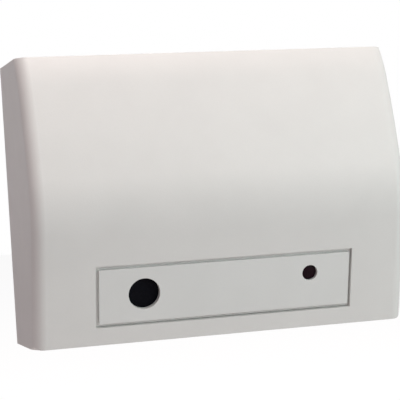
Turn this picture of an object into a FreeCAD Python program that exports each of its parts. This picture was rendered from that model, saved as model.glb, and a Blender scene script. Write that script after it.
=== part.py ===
import FreeCAD, Part
import math
import os
import Sketcher

# Glass break sensor for a wall: a curved cover on top hooks over a shallow base that holds
# the board, the battery and the sensing parts. Millimetres. X runs along the wall to the
# right as seen from the front, Y runs into the wall, Z is up. The origin is the middle of
# the back face, which lies on the wall. Depths are measured from the wall to the front.

# Every driving size: name, value, what it is
SIZES = (
    ("cover_width", 108.0, "cover width at the wall"),
    ("cover_height", 78.4, "cover height"),
    ("cover_wall", 2.2, "cover wall thickness"),
    ("side_draft", 2.1, "draft of the cover's sides in degrees"),
    ("edge_round", 3.4, "round between front and sides"),
    ("rim_bevel", 0.4, "small bevel on the top and bottom rims"),
    ("back_round", 0.5, "round on the back rim, whose top edge the cover swings on"),
    ("bottom_depth", 26.1, "cover depth at its bottom edge"),
    ("lower_rise", 29.2, "height of the flat lower face"),
    ("lower_tilt", 15.7, "lean of the lower face in degrees"),
    ("crease_rise", 16.0, "height of the bend above the lower face"),
    ("crease_radius", 36.0, "radius of that bend"),
    ("brow_radius", 164.0, "radius of the upper face"),
    ("crown_rise", 8.2, "height of the last bend below the top"),
    ("crown_radius", 35.0, "radius of that bend"),
    ("opening_width", 72.8, "width of the recess for the sensor panel"),
    ("opening_height", 16.8, "height of that recess along the face"),
    ("opening_foot", 5.3, "recess edge above the cover's bottom edge"),
    ("opening_shift", 0.2, "recess centre to the right of the middle"),
    ("panel_thick", 1.6, "panel thickness and recess depth"),
    ("gap_side", 0.85, "groove beside the panel"),
    ("gap_foot", 0.6, "groove below the panel"),
    ("gap_head", 1.05, "groove above the panel"),
    ("panel_round", 0.3, "round on the panel's front edge"),
    ("ledge", 1.5, "ledge that the panel sits on"),
    ("frame_wall", 2.2, "width of the rib behind the ledge"),
    ("frame_depth", 1.8, "depth of that rib"),
    ("snap_width", 6.0, "width of the panel's snap legs"),
    ("snap_thick", 1.2, "thickness of the snap legs"),
    ("snap_gap", 0.15, "clearance of the snap legs"),
    ("snap_lip", 0.7, "reach of the snap hooks"),
    ("mic_across", -23.0, "microphone hole from the middle"),
    ("mic_up", 13.9, "microphone hole above the bottom edge along the face"),
    ("mic_hole_radius", 4.2, "microphone hole radius"),
    ("felt_radius", 5.6, "dust felt radius"),
    ("felt_thick", 0.8, "dust felt thickness"),
    ("led_across", 24.3, "indicator hole from the middle"),
    ("led_up", 16.1, "indicator hole above the bottom edge along the face"),
    ("led_hole_radius", 2.1, "indicator hole radius"),
    ("lens_gap", 0.05, "radial clearance of the indicator lens"),
    ("lens_sink", 0.5, "lens face behind the panel's face"),
    ("lens_bevel", 0.4, "bevel on the lens face"),
    ("lens_flange", 3.1, "lens flange radius"),
    ("lens_flange_thick", 0.8, "lens flange thickness"),
    ("running_gap", 0.3, "gap between cover parts and board parts"),
    ("base_fit", 0.35, "gap between base and cover"),
    ("base_thick", 2.4, "base plate thickness"),
    ("base_corner", 1.5, "base corner radius"),
    ("rim_inset", 0.5, "rim behind the base's edge"),
    ("rim_wall", 1.8, "base rim thickness"),
    ("rim_depth", 8.0, "base rim front edge from the wall"),
    ("hook_across", 30.0, "cover hooks from the middle"),
    ("hook_width", 10.0, "cover hook width"),
    ("hook_start", 2.8, "cover hook from the wall"),
    ("hook_thick", 1.8, "cover hook thickness"),
    ("hook_drop", 1.8, "cover hook reach below the top wall"),
    ("hook_gap", 0.6, "window clearance beside the hooks"),
    ("hook_swing", 1.8, "window clearance in front of the hooks"),
    ("pry_width", 12.0, "pry notch width"),
    ("pry_depth", 3.0, "pry notch from the wall"),
    ("nub_width", 10.0, "closing nub width"),
    ("nub_reach", 0.35, "closing nub reach"),
    ("nub_start", 5.0, "closing nub from the wall"),
    ("nub_thick", 2.0, "closing nub thickness"),
    ("mount_across", 90.8, "spacing of the wall screw holes"),
    ("mount_up", 59.0, "height between the wall screw holes"),
    ("mount_hole_radius", 2.2, "wall screw hole radius"),
    ("mount_seat_radius", 3.4, "flat seat around a wall screw hole"),
    ("mount_seat_sink", 0.6, "depth of that seat"),
    ("recess_depth", 0.8, "depth of the two recesses in the base's back"),
    ("recess_border", 6.0, "full thickness left around them at the base's sides"),
    ("recess_bridge", 5.0, "half width of the strip between them"),
    ("recess_clear", 7.0, "their distance from the wall screw holes' level"),
    ("recess_round", 3.0, "round in their corners"),
    ("board_back", 16.0, "board back face from the wall"),
    ("board_thick", 1.6, "board thickness"),
    ("board_side_gap", 9.15, "room beside the board for the wall screws"),
    ("board_foot_gap", 0.35, "gap below the board"),
    ("board_head_gap", 1.35, "gap above the board"),
    ("board_step", 7.0, "board step above the middle, below the battery"),
    ("board_split", 3.6, "board edge beside the battery bay, from the bay's end"),
    ("post_radius", 3.0, "board post radius"),
    ("post_inset", 3.5, "board posts from the board's edges"),
    ("post_lower", 11.0, "left upper post below the board's step"),
    ("pilot_radius", 1.1, "screw hole in a post"),
    ("pilot_depth", 7.0, "depth of that hole"),
    ("screw_gap", 0.05, "screw shank clearance"),
    ("board_hole_radius", 1.4, "screw hole in the board"),
    ("screw_head_radius", 2.4, "board screw head radius"),
    ("screw_head_thick", 1.5, "board screw head thickness"),
    ("screw_length", 7.5, "board screw shank length"),
    ("screw_slot", 0.7, "width of the cross recess"),
    ("screw_slot_reach", 2.6, "length of the cross recess"),
    ("battery_radius", 8.5, "battery radius"),
    ("battery_length", 34.5, "battery length"),
    ("battery_nub_radius", 3.3, "battery nub radius"),
    ("battery_nub", 1.0, "battery nub height"),
    ("battery_drop", 14.85, "battery axis below the base's top rim"),
    ("battery_depth", 12.0, "battery axis from the wall"),
    ("battery_gap", 0.3, "gap around the battery in its trough"),
    ("battery_bevel", 0.6, "bevel on the battery's edges"),
    ("bay_margin", 8.15, "battery bay from the base's left rim"),
    ("bay_slack", 3.9, "bay length beyond the battery"),
    ("bay_wall", 1.6, "end wall of the battery bay"),
    ("bay_end_depth", 15.0, "front of the end walls from the wall"),
    ("bay_end_half", 7.0, "half width of the end walls"),
    ("trough_half", 9.6, "half width of the battery trough"),
    ("trough_depth", 9.0, "trough front edge from the wall"),
    ("contact_thick", 0.4, "contact strip thickness"),
    ("contact_half", 5.0, "half width of a contact plate"),
    ("contact_low", 5.4, "contact plate from the wall"),
    ("contact_high", 14.6, "front of a contact plate from the wall"),
    ("contact_tail_low", 13.0, "contact tail from the wall"),
    ("contact_foot", 4.5, "length of a contact's soldered foot"),
    ("contact_foot_wide", 3.0, "width of that foot"),
    ("contact_foot_inset", 0.5, "foot below the board's step"),
    ("dimple_radius", 2.2, "contact dimple radius"),
    ("dimple_rise", 0.25, "contact dimple height"),
    ("leaf_rise", 2.6, "rise of the spring leaf"),
    ("leaf_half", 3.0, "half width of the spring leaf"),
    ("boot_radius", 5.4, "microphone boot radius"),
    ("boot_port_radius", 1.8, "sound port radius in the boot"),
    ("capsule_radius", 3.0, "microphone capsule radius"),
    ("capsule_length", 5.0, "microphone capsule length"),
    ("capsule_gap", 0.05, "gap around the capsule"),
    ("capsule_stand", 0.3, "capsule above the board"),
    ("capsule_bevel", 0.4, "bevel on the capsule's rim"),
    ("capsule_port_radius", 1.0, "hole in the capsule's face"),
    ("pin_radius", 0.25, "radius of the round component pins"),
    ("pin_spacing", 2.54, "spacing of those pins"),
    ("lamp_radius", 1.5, "indicator lamp radius"),
    ("lamp_flange_radius", 1.95, "indicator lamp flange radius"),
    ("lamp_flange", 1.0, "indicator lamp flange thickness"),
    ("lamp_length", 5.3, "indicator lamp length"),
    ("lamp_clear", 0.7, "lamp tip behind the lens"),
    ("spacer_radius", 2.1, "lamp spacer radius"),
    ("spacer_gap", 0.2, "gap around the lamp's leads"),
    ("tamper_across", 33.0, "tamper switch from the middle"),
    ("tamper_down", 12.5, "tamper switch below the middle"),
    ("tamper_side", 6.4, "tamper switch side"),
    ("tamper_height", 5.0, "tamper switch height"),
    ("tamper_collar_radius", 2.3, "collar around the plunger"),
    ("tamper_collar", 1.0, "collar height"),
    ("plunger_radius", 1.5, "tamper plunger radius"),
    ("plunger_gap", 0.05, "radial clearance of the plunger"),
    ("plunger_out", 1.2, "plunger beyond the collar when pressed"),
    ("plunger_travel", 2.0, "plunger travel"),
    ("plunger_floor", 0.8, "switch material behind the plunger"),
    ("plunger_foot", 0.6, "thickness of the foot that keeps the plunger in"),
    ("plunger_foot_radius", 2.1, "radius of that foot"),
    ("plunger_bevel", 0.4, "bevel on the plunger's tip"),
    ("post_tip_radius", 2.4, "cover post that presses the plunger"),
    ("post_bite", 1.0, "length of that post inside the wall"),
    ("setting_across", 3.0, "setting switch from the middle"),
    ("setting_down", 15.0, "setting switch below the middle"),
    ("setting_width", 6.6, "setting switch width"),
    ("setting_tall", 6.2, "setting switch height on the board"),
    ("setting_thick", 3.2, "setting switch thickness"),
    ("setting_pitch", 2.54, "spacing of its sliders"),
    ("slot_width", 1.3, "slider slot width"),
    ("slot_length", 2.5, "slider slot length"),
    ("slot_deep", 1.0, "slider slot depth"),
    ("slider_length", 1.25, "slider length"),
    ("slider_gap", 0.05, "slider clearance"),
    ("slider_tall", 1.5, "slider height"),
    ("shield_across", 20.5, "radio shield from the middle"),
    ("shield_up", 15.0, "radio shield above the middle"),
    ("shield_width", 21.0, "radio shield width"),
    ("shield_height", 15.0, "radio shield height on the board"),
    ("shield_thick", 2.8, "radio shield thickness"),
    ("shield_sheet", 0.3, "radio shield sheet"),
    ("shield_round", 0.8, "radio shield corner round"),
    ("shield_bevel", 0.4, "bevel round the radio shield's front"),
    ("chip_across", -14.5, "processor from the middle"),
    ("chip_down", 7.5, "processor below the middle"),
    ("chip_side", 9.0, "processor side"),
    ("chip_thick", 1.4, "processor thickness"),
    ("chip_bevel", 0.25, "bevel on the chips"),
    ("amp_across", -8.0, "amplifier from the middle"),
    ("amp_down", 25.0, "amplifier below the middle"),
    ("amp_width", 4.0, "amplifier width"),
    ("amp_height", 8.6, "amplifier height on the board"),
    ("lead_width", 0.4, "chip lead width"),
    ("lead_reach", 1.0, "chip lead reach"),
    ("lead_thick", 0.35, "chip lead thickness"),
    ("chip_lead_pitch", 1.0, "processor lead pitch"),
    ("amp_lead_pitch", 1.27, "amplifier lead pitch"),
    ("crystal_across", -28.0, "crystal from the middle"),
    ("crystal_down", 9.0, "crystal below the middle"),
    ("crystal_length", 11.0, "crystal length"),
    ("crystal_width", 4.6, "crystal width"),
    ("crystal_thick", 3.6, "crystal height"),
    ("crystal_lip", 0.4, "crystal base lip"),
    ("buffer_across", 9.0, "first buffer capacitor from the middle"),
    ("buffer_down", 27.5, "buffer capacitors below the middle"),
    ("buffer_pitch", 7.6, "spacing of the buffer capacitors"),
    ("buffer_radius", 3.15, "buffer capacitor radius"),
    ("buffer_height", 5.6, "buffer capacitor height"),
    ("buffer_foot", 0.8, "height of its square foot"),
    ("buffer_foot_side", 6.6, "side of its square foot"),
    ("buffer_neck", 0.3, "depth of its neck"),
    ("passive_length", 2.0, "small chip part length"),
    ("passive_width", 1.25, "small chip part width"),
    ("passive_thick", 0.6, "small chip part thickness"),
    ("passive_pitch", 2.2, "spacing of the small chip parts"),
    ("passive_step", 3.4, "distance from a chip to the small parts beside it"),
    ("antenna_wide", 1.6, "antenna strip width"),
    ("antenna_thick", 0.5, "antenna strip thickness"),
    ("antenna_rise", 6.0, "antenna above the board"),
    ("antenna_bend", 1.5, "outer bend radius of the antenna"),
    ("antenna_left", 4.0, "antenna's first foot from the middle"),
    ("antenna_clear", 4.1, "antenna's other foot from the board screw beside it"),
    ("antenna_drop", 5.0, "antenna below the board's top edge"),
)

DOC = FreeCAD.newDocument("glass_break_sensor")
SHEET = DOC.addObject("Spreadsheet::Sheet", "sizes")
for row, (alias, value, note) in enumerate(SIZES, start=1):
    SHEET.set(f"A{row}", note)
    SHEET.set(f"B{row}", str(value))
    SHEET.setAlias(f"B{row}", alias)
DOC.recompute()

PARTS = []


class Dim:
    """A size that carries its value and the sheet expression that gives it."""

    def __init__(self, text, value):
        self.text = text
        self.value = value

    def __add__(self, other):
        other = dim(other)
        return Dim(f"({self.text} + {other.text})", self.value + other.value)

    def __sub__(self, other):
        other = dim(other)
        return Dim(f"({self.text} - {other.text})", self.value - other.value)

    def __mul__(self, other):
        other = dim(other)
        return Dim(f"({self.text} * {other.text})", self.value * other.value)

    def __truediv__(self, other):
        other = dim(other)
        return Dim(f"({self.text} / {other.text})", self.value / other.value)

    def __radd__(self, other):
        return dim(other) + self

    def __rsub__(self, other):
        return dim(other) - self

    def __rmul__(self, other):
        return dim(other) * self

    def __neg__(self):
        return Dim(f"(0 - {self.text})", -self.value)


def dim(value):
    """Give a plain number the same form as a sheet size."""
    if isinstance(value, Dim):
        return value
    return Dim(repr(float(value)), float(value))


def size(alias):
    """Look up one driving size."""
    return Dim(f"sizes.{alias}", float(SHEET.get(alias)))


def root(value):
    return Dim(f"sqrt({value.text})", math.sqrt(value.value))


def sine(angle):
    return Dim(f"sin({angle.text} * 1 deg)", math.sin(math.radians(angle.value)))


def cosine(angle):
    return Dim(f"cos({angle.text} * 1 deg)", math.cos(math.radians(angle.value)))


def bind(thing, prop, value):
    """Bind one property to the sheet."""
    thing.setExpression(prop, dim(value).text)


# Building helpers

def new_body(label):
    """Start a sub-part whose label becomes its file name."""
    body = DOC.addObject("PartDesign::Body", label)
    body.Label = label
    body.Placement = FreeCAD.Placement()
    PARTS.append(body)
    return body


def place(body, across, depth, up):
    """Bind a body's place: across along X, depth in front of the wall, up along Z."""
    bind(body, "Placement.Base.x", across)
    bind(body, "Placement.Base.y", -dim(depth))
    bind(body, "Placement.Base.z", up)


def origin_feature(body, role):
    """Find one of a body's own origin planes or axes."""
    return [item for item in body.Origin.OriginFeatures if item.Role == role][0]


def sketch_on(body, name, plane="XZ_Plane", shift=(0, 0, 0), tilt=None):
    """Attach a sketch to an origin plane. On XZ the sketch's normal points to the front."""
    sketch = body.newObject("Sketcher::SketchObject", name)
    sketch.AttachmentSupport = [(origin_feature(body, plane), "")]
    sketch.MapMode = "FlatFace"
    offset = FreeCAD.Placement()
    if tilt is not None:
        offset.Rotation = FreeCAD.Rotation(FreeCAD.Vector(1, 0, 0), tilt.value)
    sketch.AttachmentOffset = offset
    for axis, value in zip("xyz", shift):
        bind(sketch, f"AttachmentOffset.Base.{axis}", value)
    if tilt is not None:
        bind(sketch, "AttachmentOffset.Rotation.Angle", tilt)
    return sketch


def fix(sketch, kind, geometry, point, value):
    """Hold one coordinate of a point, or one radius, at a bound value."""
    if kind == "Radius":
        number = sketch.addConstraint(Sketcher.Constraint(kind, geometry, value.value))
    else:
        number = sketch.addConstraint(
            Sketcher.Constraint(kind, -1, 1, geometry, point, value.value))
    sketch.setExpression(f"Constraints[{number}]", value.text)


def outline(sketch, points, arcs=None):
    """Draw a closed outline. arcs maps a segment to its radius, bulging to its left side
    for a positive sign and to its right side for a negative one."""
    arcs = arcs or {}
    points = [(dim(x), dim(y)) for x, y in points]
    start = sketch.GeometryCount
    count = len(points)
    first_end = {}
    for index, (x, y) in enumerate(points):
        next_x, next_y = points[(index + 1) % count]
        here = FreeCAD.Vector(x.value, y.value, 0)
        there = FreeCAD.Vector(next_x.value, next_y.value, 0)
        if index in arcs:
            radius, side = arcs[index]
            middle = (here + there) * 0.5
            chord = there - here
            left = FreeCAD.Vector(-chord.y, chord.x, 0).normalize()
            half = chord.Length / 2
            sag = radius.value - math.sqrt(radius.value ** 2 - half ** 2)
            sketch.addGeometry(Part.Arc(here, middle + left * (sag * side), there), False)
            # An arc always runs anticlockwise, so one that bulges left is stored reversed
            first_end[index] = (2, 1) if side > 0 else (1, 2)
        else:
            sketch.addGeometry(Part.LineSegment(here, there), False)
            first_end[index] = (1, 2)
    for index in range(count):
        following = (index + 1) % count
        sketch.addConstraint(Sketcher.Constraint(
            "Coincident", start + index, first_end[index][1],
            start + following, first_end[following][0]))
    for index, (x, y) in enumerate(points):
        fix(sketch, "DistanceX", start + index, first_end[index][0], x)
        fix(sketch, "DistanceY", start + index, first_end[index][0], y)
    for index, (radius, side) in arcs.items():
        fix(sketch, "Radius", start + index, 0, radius)


def rectangle(sketch, left, bottom, right, top):
    outline(sketch, [(left, bottom), (right, bottom), (right, top), (left, top)])


def centred(sketch, x, y, width, height):
    x, y, width, height = dim(x), dim(y), dim(width), dim(height)
    rectangle(sketch, x - width / 2, y - height / 2, x + width / 2, y + height / 2)


def circle(sketch, x, y, radius):
    x, y, radius = dim(x), dim(y), dim(radius)
    number = sketch.addGeometry(
        Part.Circle(FreeCAD.Vector(x.value, y.value, 0), FreeCAD.Vector(0, 0, 1), radius.value),
        False)
    fix(sketch, "DistanceX", number, 3, x)
    fix(sketch, "DistanceY", number, 3, y)
    fix(sketch, "Radius", number, 0, radius)


def pad(body, sketch, name, length, backwards=False, both=False):
    """Add material along the sketch's normal."""
    feature = body.newObject("PartDesign::Pad", name)
    feature.Profile = sketch
    feature.Midplane = both
    feature.Reversed = backwards
    bind(feature, "Length", length)
    sketch.Visibility = False
    return feature


def pocket(body, sketch, name, length, forwards=False, both=False):
    """Cut material against the sketch's normal."""
    feature = body.newObject("PartDesign::Pocket", name)
    feature.Profile = sketch
    feature.Midplane = both
    feature.Reversed = forwards
    bind(feature, "Length", length)
    sketch.Visibility = False
    return feature


def repeat(body, feature, name, axis, pitch, count):
    """Repeat a feature in a row along one of the body's axes."""
    row = body.newObject("PartDesign::LinearPattern", name)
    row.Originals = [feature]
    row.Direction = (origin_feature(body, axis), [""])
    row.Occurrences = count
    bind(row, "Length", pitch * (count - 1))
    body.Tip = row
    return row


def turn(body, sketch, name, axis="V_Axis"):
    """Turn a half profile once around one of its sketch's axes."""
    feature = body.newObject("PartDesign::Revolution", name)
    feature.Profile = sketch
    feature.ReferenceAxis = (sketch, [axis])
    feature.Angle = 360.0
    sketch.Visibility = False
    return feature


def edges_where(feature, test):
    """Name the edges of a feature whose middle point passes the test."""
    DOC.recompute()
    names = []
    for number, edge in enumerate(feature.Shape.Edges, start=1):
        span = edge.LastParameter - edge.FirstParameter
        middle = edge.valueAt(edge.FirstParameter + span / 2)
        if test(edge, middle):
            names.append(f"Edge{number}")
    return names


def round_edges(body, feature, name, radius, test):
    fillet = body.newObject("PartDesign::Fillet", name)
    fillet.Base = (feature, edges_where(feature, test))
    bind(fillet, "Radius", radius)
    return fillet


def bevel_edges(body, feature, name, amount, test):
    bevel = body.newObject("PartDesign::Chamfer", name)
    bevel.Base = (feature, edges_where(feature, test))
    bind(bevel, "Size", amount)
    return bevel


def near(first, second):
    return abs(first - second) < 0.001


# Sizes that several sub-parts share

WALL = size("cover_wall")
HALF_WIDTH = size("cover_width") / 2
HALF_HEIGHT = size("cover_height") / 2
TILT = size("lower_tilt")
BOTTOM_DEPTH = size("bottom_depth")
BOARD_FRONT = size("board_back") + size("board_thick")
PANEL_THICK = size("panel_thick")
RUNNING = size("running_gap")


def face_depth(up_face, inward=0):
    """Depth from the wall of a point up the leaning lower face, set back inwards."""
    return BOTTOM_DEPTH + up_face * sine(TILT) - inward * cosine(TILT)


def face_height(up_face, inward=0):
    """Height of that point above the middle."""
    return up_face * cosine(TILT) + inward * sine(TILT) - HALF_HEIGHT


def face_sketch(body, name, inward=0):
    """A sketch on the leaning lower face, with its origin on the cover's bottom edge."""
    inward = dim(inward)
    shift = (0, -HALF_HEIGHT + inward * sine(TILT), BOTTOM_DEPTH - inward * cosine(TILT))
    return sketch_on(body, name, shift=shift, tilt=TILT)


# Front cover

def front_profile():
    """Corner points of the cover's side profile, front to back, and the radii of its bends."""
    lower_end = -HALF_HEIGHT + size("lower_rise")
    crease_end = lower_end + size("crease_rise")
    brow_end = HALF_HEIGHT - size("crown_rise")
    lower_sine = sine(TILT)
    crease_sine = lower_sine - size("crease_rise") / size("crease_radius")
    brow_sine = crease_sine - (brow_end - crease_end) / size("brow_radius")
    crown_sine = brow_sine - size("crown_rise") / size("crown_radius")
    lower_cosine = cosine(TILT)
    crease_cosine = root(1 - crease_sine * crease_sine)
    brow_cosine = root(1 - brow_sine * brow_sine)
    crown_cosine = root(1 - crown_sine * crown_sine)
    lower_depth = BOTTOM_DEPTH + size("lower_rise") * lower_sine / lower_cosine
    crease_depth = lower_depth + size("crease_radius") * (crease_cosine - lower_cosine)
    brow_depth = crease_depth + size("brow_radius") * (brow_cosine - crease_cosine)
    crown_depth = brow_depth + size("crown_radius") * (crown_cosine - brow_cosine)
    points = [(BOTTOM_DEPTH, -HALF_HEIGHT), (lower_depth, lower_end),
              (crease_depth, crease_end), (brow_depth, brow_end), (crown_depth, HALF_HEIGHT)]
    return points, [size("crease_radius"), size("brow_radius"), size("crown_radius")]


def make_cover_block(body):
    """The outer form: a drafted plan, cut off in front by the side profile."""
    points, radii = front_profile()
    reach = points[2][0] + size("crease_radius")
    draft = reach * sine(size("side_draft")) / cosine(size("side_draft"))
    plan = sketch_on(body, "cover_plan", "XY_Plane")
    outline(plan, [(-HALF_WIDTH, 0), (-HALF_WIDTH + draft, -reach),
                   (HALF_WIDTH - draft, -reach), (HALF_WIDTH, 0)])
    pad(body, plan, "cover_block", size("cover_height"), both=True)
    side = sketch_on(body, "cover_side_profile", "YZ_Plane")
    corners = [(-depth, up) for depth, up in points]
    beyond = -(reach + size("crease_radius"))
    ends = [(beyond, HALF_HEIGHT + WALL), (beyond, -HALF_HEIGHT - WALL)]
    start = (corners[0][0], -HALF_HEIGHT - WALL)
    finish = (corners[-1][0], HALF_HEIGHT + WALL)
    arcs = {index + 2: (radius, 1) for index, radius in enumerate(radii)}
    outline(side, [start] + corners + [finish] + ends, arcs)
    return pocket(body, side, "cover_front_form", size("cover_width") * 2, both=True)


def make_cover_shell(body, block):
    """Hollow the block from the back, then round its sides and ease its rims."""
    DOC.recompute()
    shell = body.newObject("PartDesign::Thickness", "cover_hollow")
    back = [f"Face{number}" for number, face in enumerate(block.Shape.Faces, start=1)
            if near(face.CenterOfMass.y, 0) and near(face.BoundBox.YLength, 0)]
    shell.Base = (block, back)
    shell.Reversed = True
    bind(shell, "Value", WALL)
    wall = WALL.value
    mid_wall = HALF_WIDTH.value - wall / 2
    slope = math.tan(math.radians(size("side_draft").value))

    def off_the_back(middle):
        return middle.y < -wall / 2

    def at_front_side(edge, middle):
        """The outer edges that run up between the front and the two sides."""
        outside = abs(middle.x) - middle.y * slope > mid_wall
        return edge.BoundBox.ZLength > wall and off_the_back(middle) and outside

    def on_front_rim(edge, middle):
        level = near(abs(middle.z), HALF_HEIGHT.value) and near(edge.BoundBox.ZLength, 0)
        return level and off_the_back(middle)

    def on_back_rim(edge, middle):
        return near(middle.z, HALF_HEIGHT.value) and near(middle.y, 0)

    sides = round_edges(body, shell, "cover_edge_round", size("edge_round"), at_front_side)
    rims = bevel_edges(body, sides, "cover_rim_bevel", size("rim_bevel"), on_front_rim)
    return round_edges(body, rims, "cover_back_round", size("back_round"), on_back_rim)


def make_front_cover():
    body = new_body("front_cover")
    block = make_cover_block(body)
    make_cover_shell(body, block)
    middle_up = size("opening_foot") + size("opening_height") / 2

    frame = face_sketch(body, "panel_frame_outline", WALL)
    centred(frame, size("opening_shift"), middle_up,
            size("opening_width") - 2 * size("ledge") + 2 * size("frame_wall"),
            size("opening_height") - 2 * size("ledge") + 2 * size("frame_wall"))
    pad(body, frame, "panel_frame", size("frame_depth"), backwards=True)

    recess = face_sketch(body, "panel_recess_outline")
    centred(recess, size("opening_shift"), middle_up, size("opening_width"),
            size("opening_height"))
    pocket(body, recess, "panel_recess", PANEL_THICK)

    window = face_sketch(body, "panel_window_outline")
    centred(window, size("opening_shift"), middle_up,
            size("opening_width") - 2 * size("ledge"),
            size("opening_height") - 2 * size("ledge"))
    pocket(body, window, "panel_window", WALL + size("frame_depth") + PANEL_THICK)

    hooks = sketch_on(body, "hook_outlines", shift=(0, 0, size("hook_start")))
    for side in (-1, 1):
        centre = side * size("hook_across")
        rectangle(hooks, centre - size("hook_width") / 2,
                  HALF_HEIGHT - WALL - size("hook_drop"),
                  centre + size("hook_width") / 2, HALF_HEIGHT - WALL / 2)
    pad(body, hooks, "hooks", size("hook_thick"))

    tip = BOARD_FRONT + size("tamper_height") + size("tamper_collar") \
        + size("plunger_out") + RUNNING
    post = sketch_on(body, "tamper_post_outline", shift=(0, 0, tip))
    circle(post, size("tamper_across"), -size("tamper_down"), size("post_tip_radius"))
    up_face = (HALF_HEIGHT - size("tamper_down")) / cosine(TILT)
    inner = face_depth(up_face) - WALL / cosine(TILT)
    slack = size("post_tip_radius") * sine(TILT) / cosine(TILT)
    pad(body, post, "tamper_post", inner - tip - slack + size("post_bite"))

    notch = sketch_on(body, "pry_notch_outline", "XY_Plane", (0, 0, -HALF_HEIGHT + WALL * 2))
    rectangle(notch, -size("pry_width") / 2, -size("pry_depth"), size("pry_width") / 2, WALL)
    pocket(body, notch, "pry_notch", WALL * 3)
    return body


# Sensor panel, felt and lens

def make_sensor_panel():
    body = new_body("sensor_panel")
    width = size("opening_width") - 2 * size("gap_side")
    low = size("opening_foot") + size("gap_foot")
    high = size("opening_foot") + size("opening_height") - size("gap_head")
    left = size("opening_shift") - width / 2
    right = size("opening_shift") + width / 2
    plate = face_sketch(body, "panel_outline")
    rectangle(plate, left, low, right, high)
    front = pad(body, plate, "panel_plate", PANEL_THICK, backwards=True)

    def on_front(edge, middle):
        set_back = (BOTTOM_DEPTH.value + middle.y) * math.cos(math.radians(TILT.value)) \
            + (HALF_HEIGHT.value + middle.z) * math.sin(math.radians(TILT.value))
        return near(set_back, 0)

    round_edges(body, front, "panel_edge_round", size("panel_round"), on_front)

    legs = face_sketch(body, "snap_leg_outlines", PANEL_THICK)
    hooks = face_sketch(body, "snap_hook_outlines",
                        WALL + size("frame_depth") + size("snap_gap"))
    middle_up = size("opening_foot") + size("opening_height") / 2
    for side in (-1, 1):
        outer = size("opening_shift") \
            + side * (size("opening_width") / 2 - size("ledge") - size("snap_gap"))
        inner = outer - side * size("snap_thick")
        beyond = outer + side * size("snap_lip")
        for sketch, far in ((legs, outer), (hooks, beyond)):
            near_edge, far_edge = (far, inner) if side < 0 else (inner, far)
            rectangle(sketch, near_edge, middle_up - size("snap_width") / 2,
                      far_edge, middle_up + size("snap_width") / 2)
    length = WALL + size("frame_depth") + size("snap_gap") - PANEL_THICK
    pad(body, legs, "snap_legs", length, backwards=True)
    pad(body, hooks, "snap_hooks", size("snap_thick"), backwards=True)

    holes = face_sketch(body, "panel_holes")
    circle(holes, size("mic_across"), size("mic_up"), size("mic_hole_radius"))
    circle(holes, size("led_across"), size("led_up"), size("led_hole_radius"))
    pocket(body, holes, "panel_hole_cut", PANEL_THICK * 2)
    return body


def make_acoustic_felt():
    body = new_body("acoustic_felt")
    disc = face_sketch(body, "felt_outline", PANEL_THICK)
    circle(disc, size("mic_across"), size("mic_up"), size("felt_radius"))
    pad(body, disc, "felt_disc", size("felt_thick"), backwards=True)
    return body


def make_indicator_lens():
    body = new_body("indicator_lens")
    plug = face_sketch(body, "lens_outline", size("lens_sink"))
    radius = size("led_hole_radius") - size("lens_gap")
    circle(plug, size("led_across"), size("led_up"), radius)
    barrel = pad(body, plug, "lens_plug", PANEL_THICK - size("lens_sink"), backwards=True)

    front = -face_depth(size("led_up"), size("lens_sink")).value
    bevel_edges(body, barrel, "lens_crown", size("lens_bevel"),
                lambda edge, middle: near(edge.CenterOfMass.y, front) and edge.Closed)
    flange = face_sketch(body, "lens_flange_outline", PANEL_THICK)
    circle(flange, size("led_across"), size("led_up"), size("lens_flange"))
    pad(body, flange, "lens_flange_disc", size("lens_flange_thick"), backwards=True)
    return body


# Rear base

BASE_HALF_X = HALF_WIDTH - WALL - size("base_fit")
BASE_HALF_Z = HALF_HEIGHT - WALL - size("base_fit")
RIM_HALF_X = BASE_HALF_X - size("rim_inset")
RIM_HALF_Z = BASE_HALF_Z - size("rim_inset")
RIM_INNER_X = RIM_HALF_X - size("rim_wall")
RIM_INNER_Z = RIM_HALF_Z - size("rim_wall")
BOARD_HALF = RIM_INNER_X - size("board_side_gap")
BOARD_FOOT = size("board_foot_gap") - RIM_INNER_Z
BOARD_HEAD = RIM_INNER_Z - size("board_head_gap")
BATTERY_UP = RIM_INNER_Z - size("battery_drop")
BAY_LEFT = size("bay_margin") - RIM_INNER_X
BAY_RIGHT = BAY_LEFT + size("battery_length") + size("bay_slack")


def board_posts():
    """The four places where the board is screwed down, as across and up."""
    inset = size("post_inset")
    side = BOARD_HALF - inset
    low = BOARD_FOOT + inset
    return [(-side, low), (side, low), (side, BOARD_HEAD - inset),
            (-side, size("board_step") - size("post_lower"))]


def make_base_tray(body):
    plate = sketch_on(body, "base_outline")
    centred(plate, 0, 0, BASE_HALF_X * 2, BASE_HALF_Z * 2)
    slab = pad(body, plate, "base_plate", size("base_thick"))
    round_edges(body, slab, "base_corner_round", size("base_corner"),
                lambda edge, middle: near(edge.Length, size("base_thick").value))
    rim = sketch_on(body, "rim_outline", shift=(0, 0, size("base_thick")))
    centred(rim, 0, 0, RIM_HALF_X * 2, RIM_HALF_Z * 2)
    centred(rim, 0, 0, RIM_INNER_X * 2, RIM_INNER_Z * 2)
    pad(body, rim, "rim", size("rim_depth") - size("base_thick"))


def make_back_recesses(body):
    """Two shallow recesses, so that the base rests on its border and its middle strip."""
    depth = size("recess_depth")
    far = BASE_HALF_X - size("recess_border")
    bridge = size("recess_bridge")
    half = size("mount_up") / 2 - size("recess_clear")
    outlines = sketch_on(body, "back_recess_outlines")
    for side in (-1, 1):
        centred(outlines, side * (far + bridge) / 2, 0, far - bridge, half * 2)
    cut = pocket(body, outlines, "back_recesses", depth, forwards=True)

    def in_corner(edge, middle):
        runs_in = near(edge.Length, depth.value) and near(edge.BoundBox.YLength, depth.value)
        return runs_in and near(abs(middle.z), half.value)

    round_edges(body, cut, "back_recess_rounds", size("recess_round"), in_corner)


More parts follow.
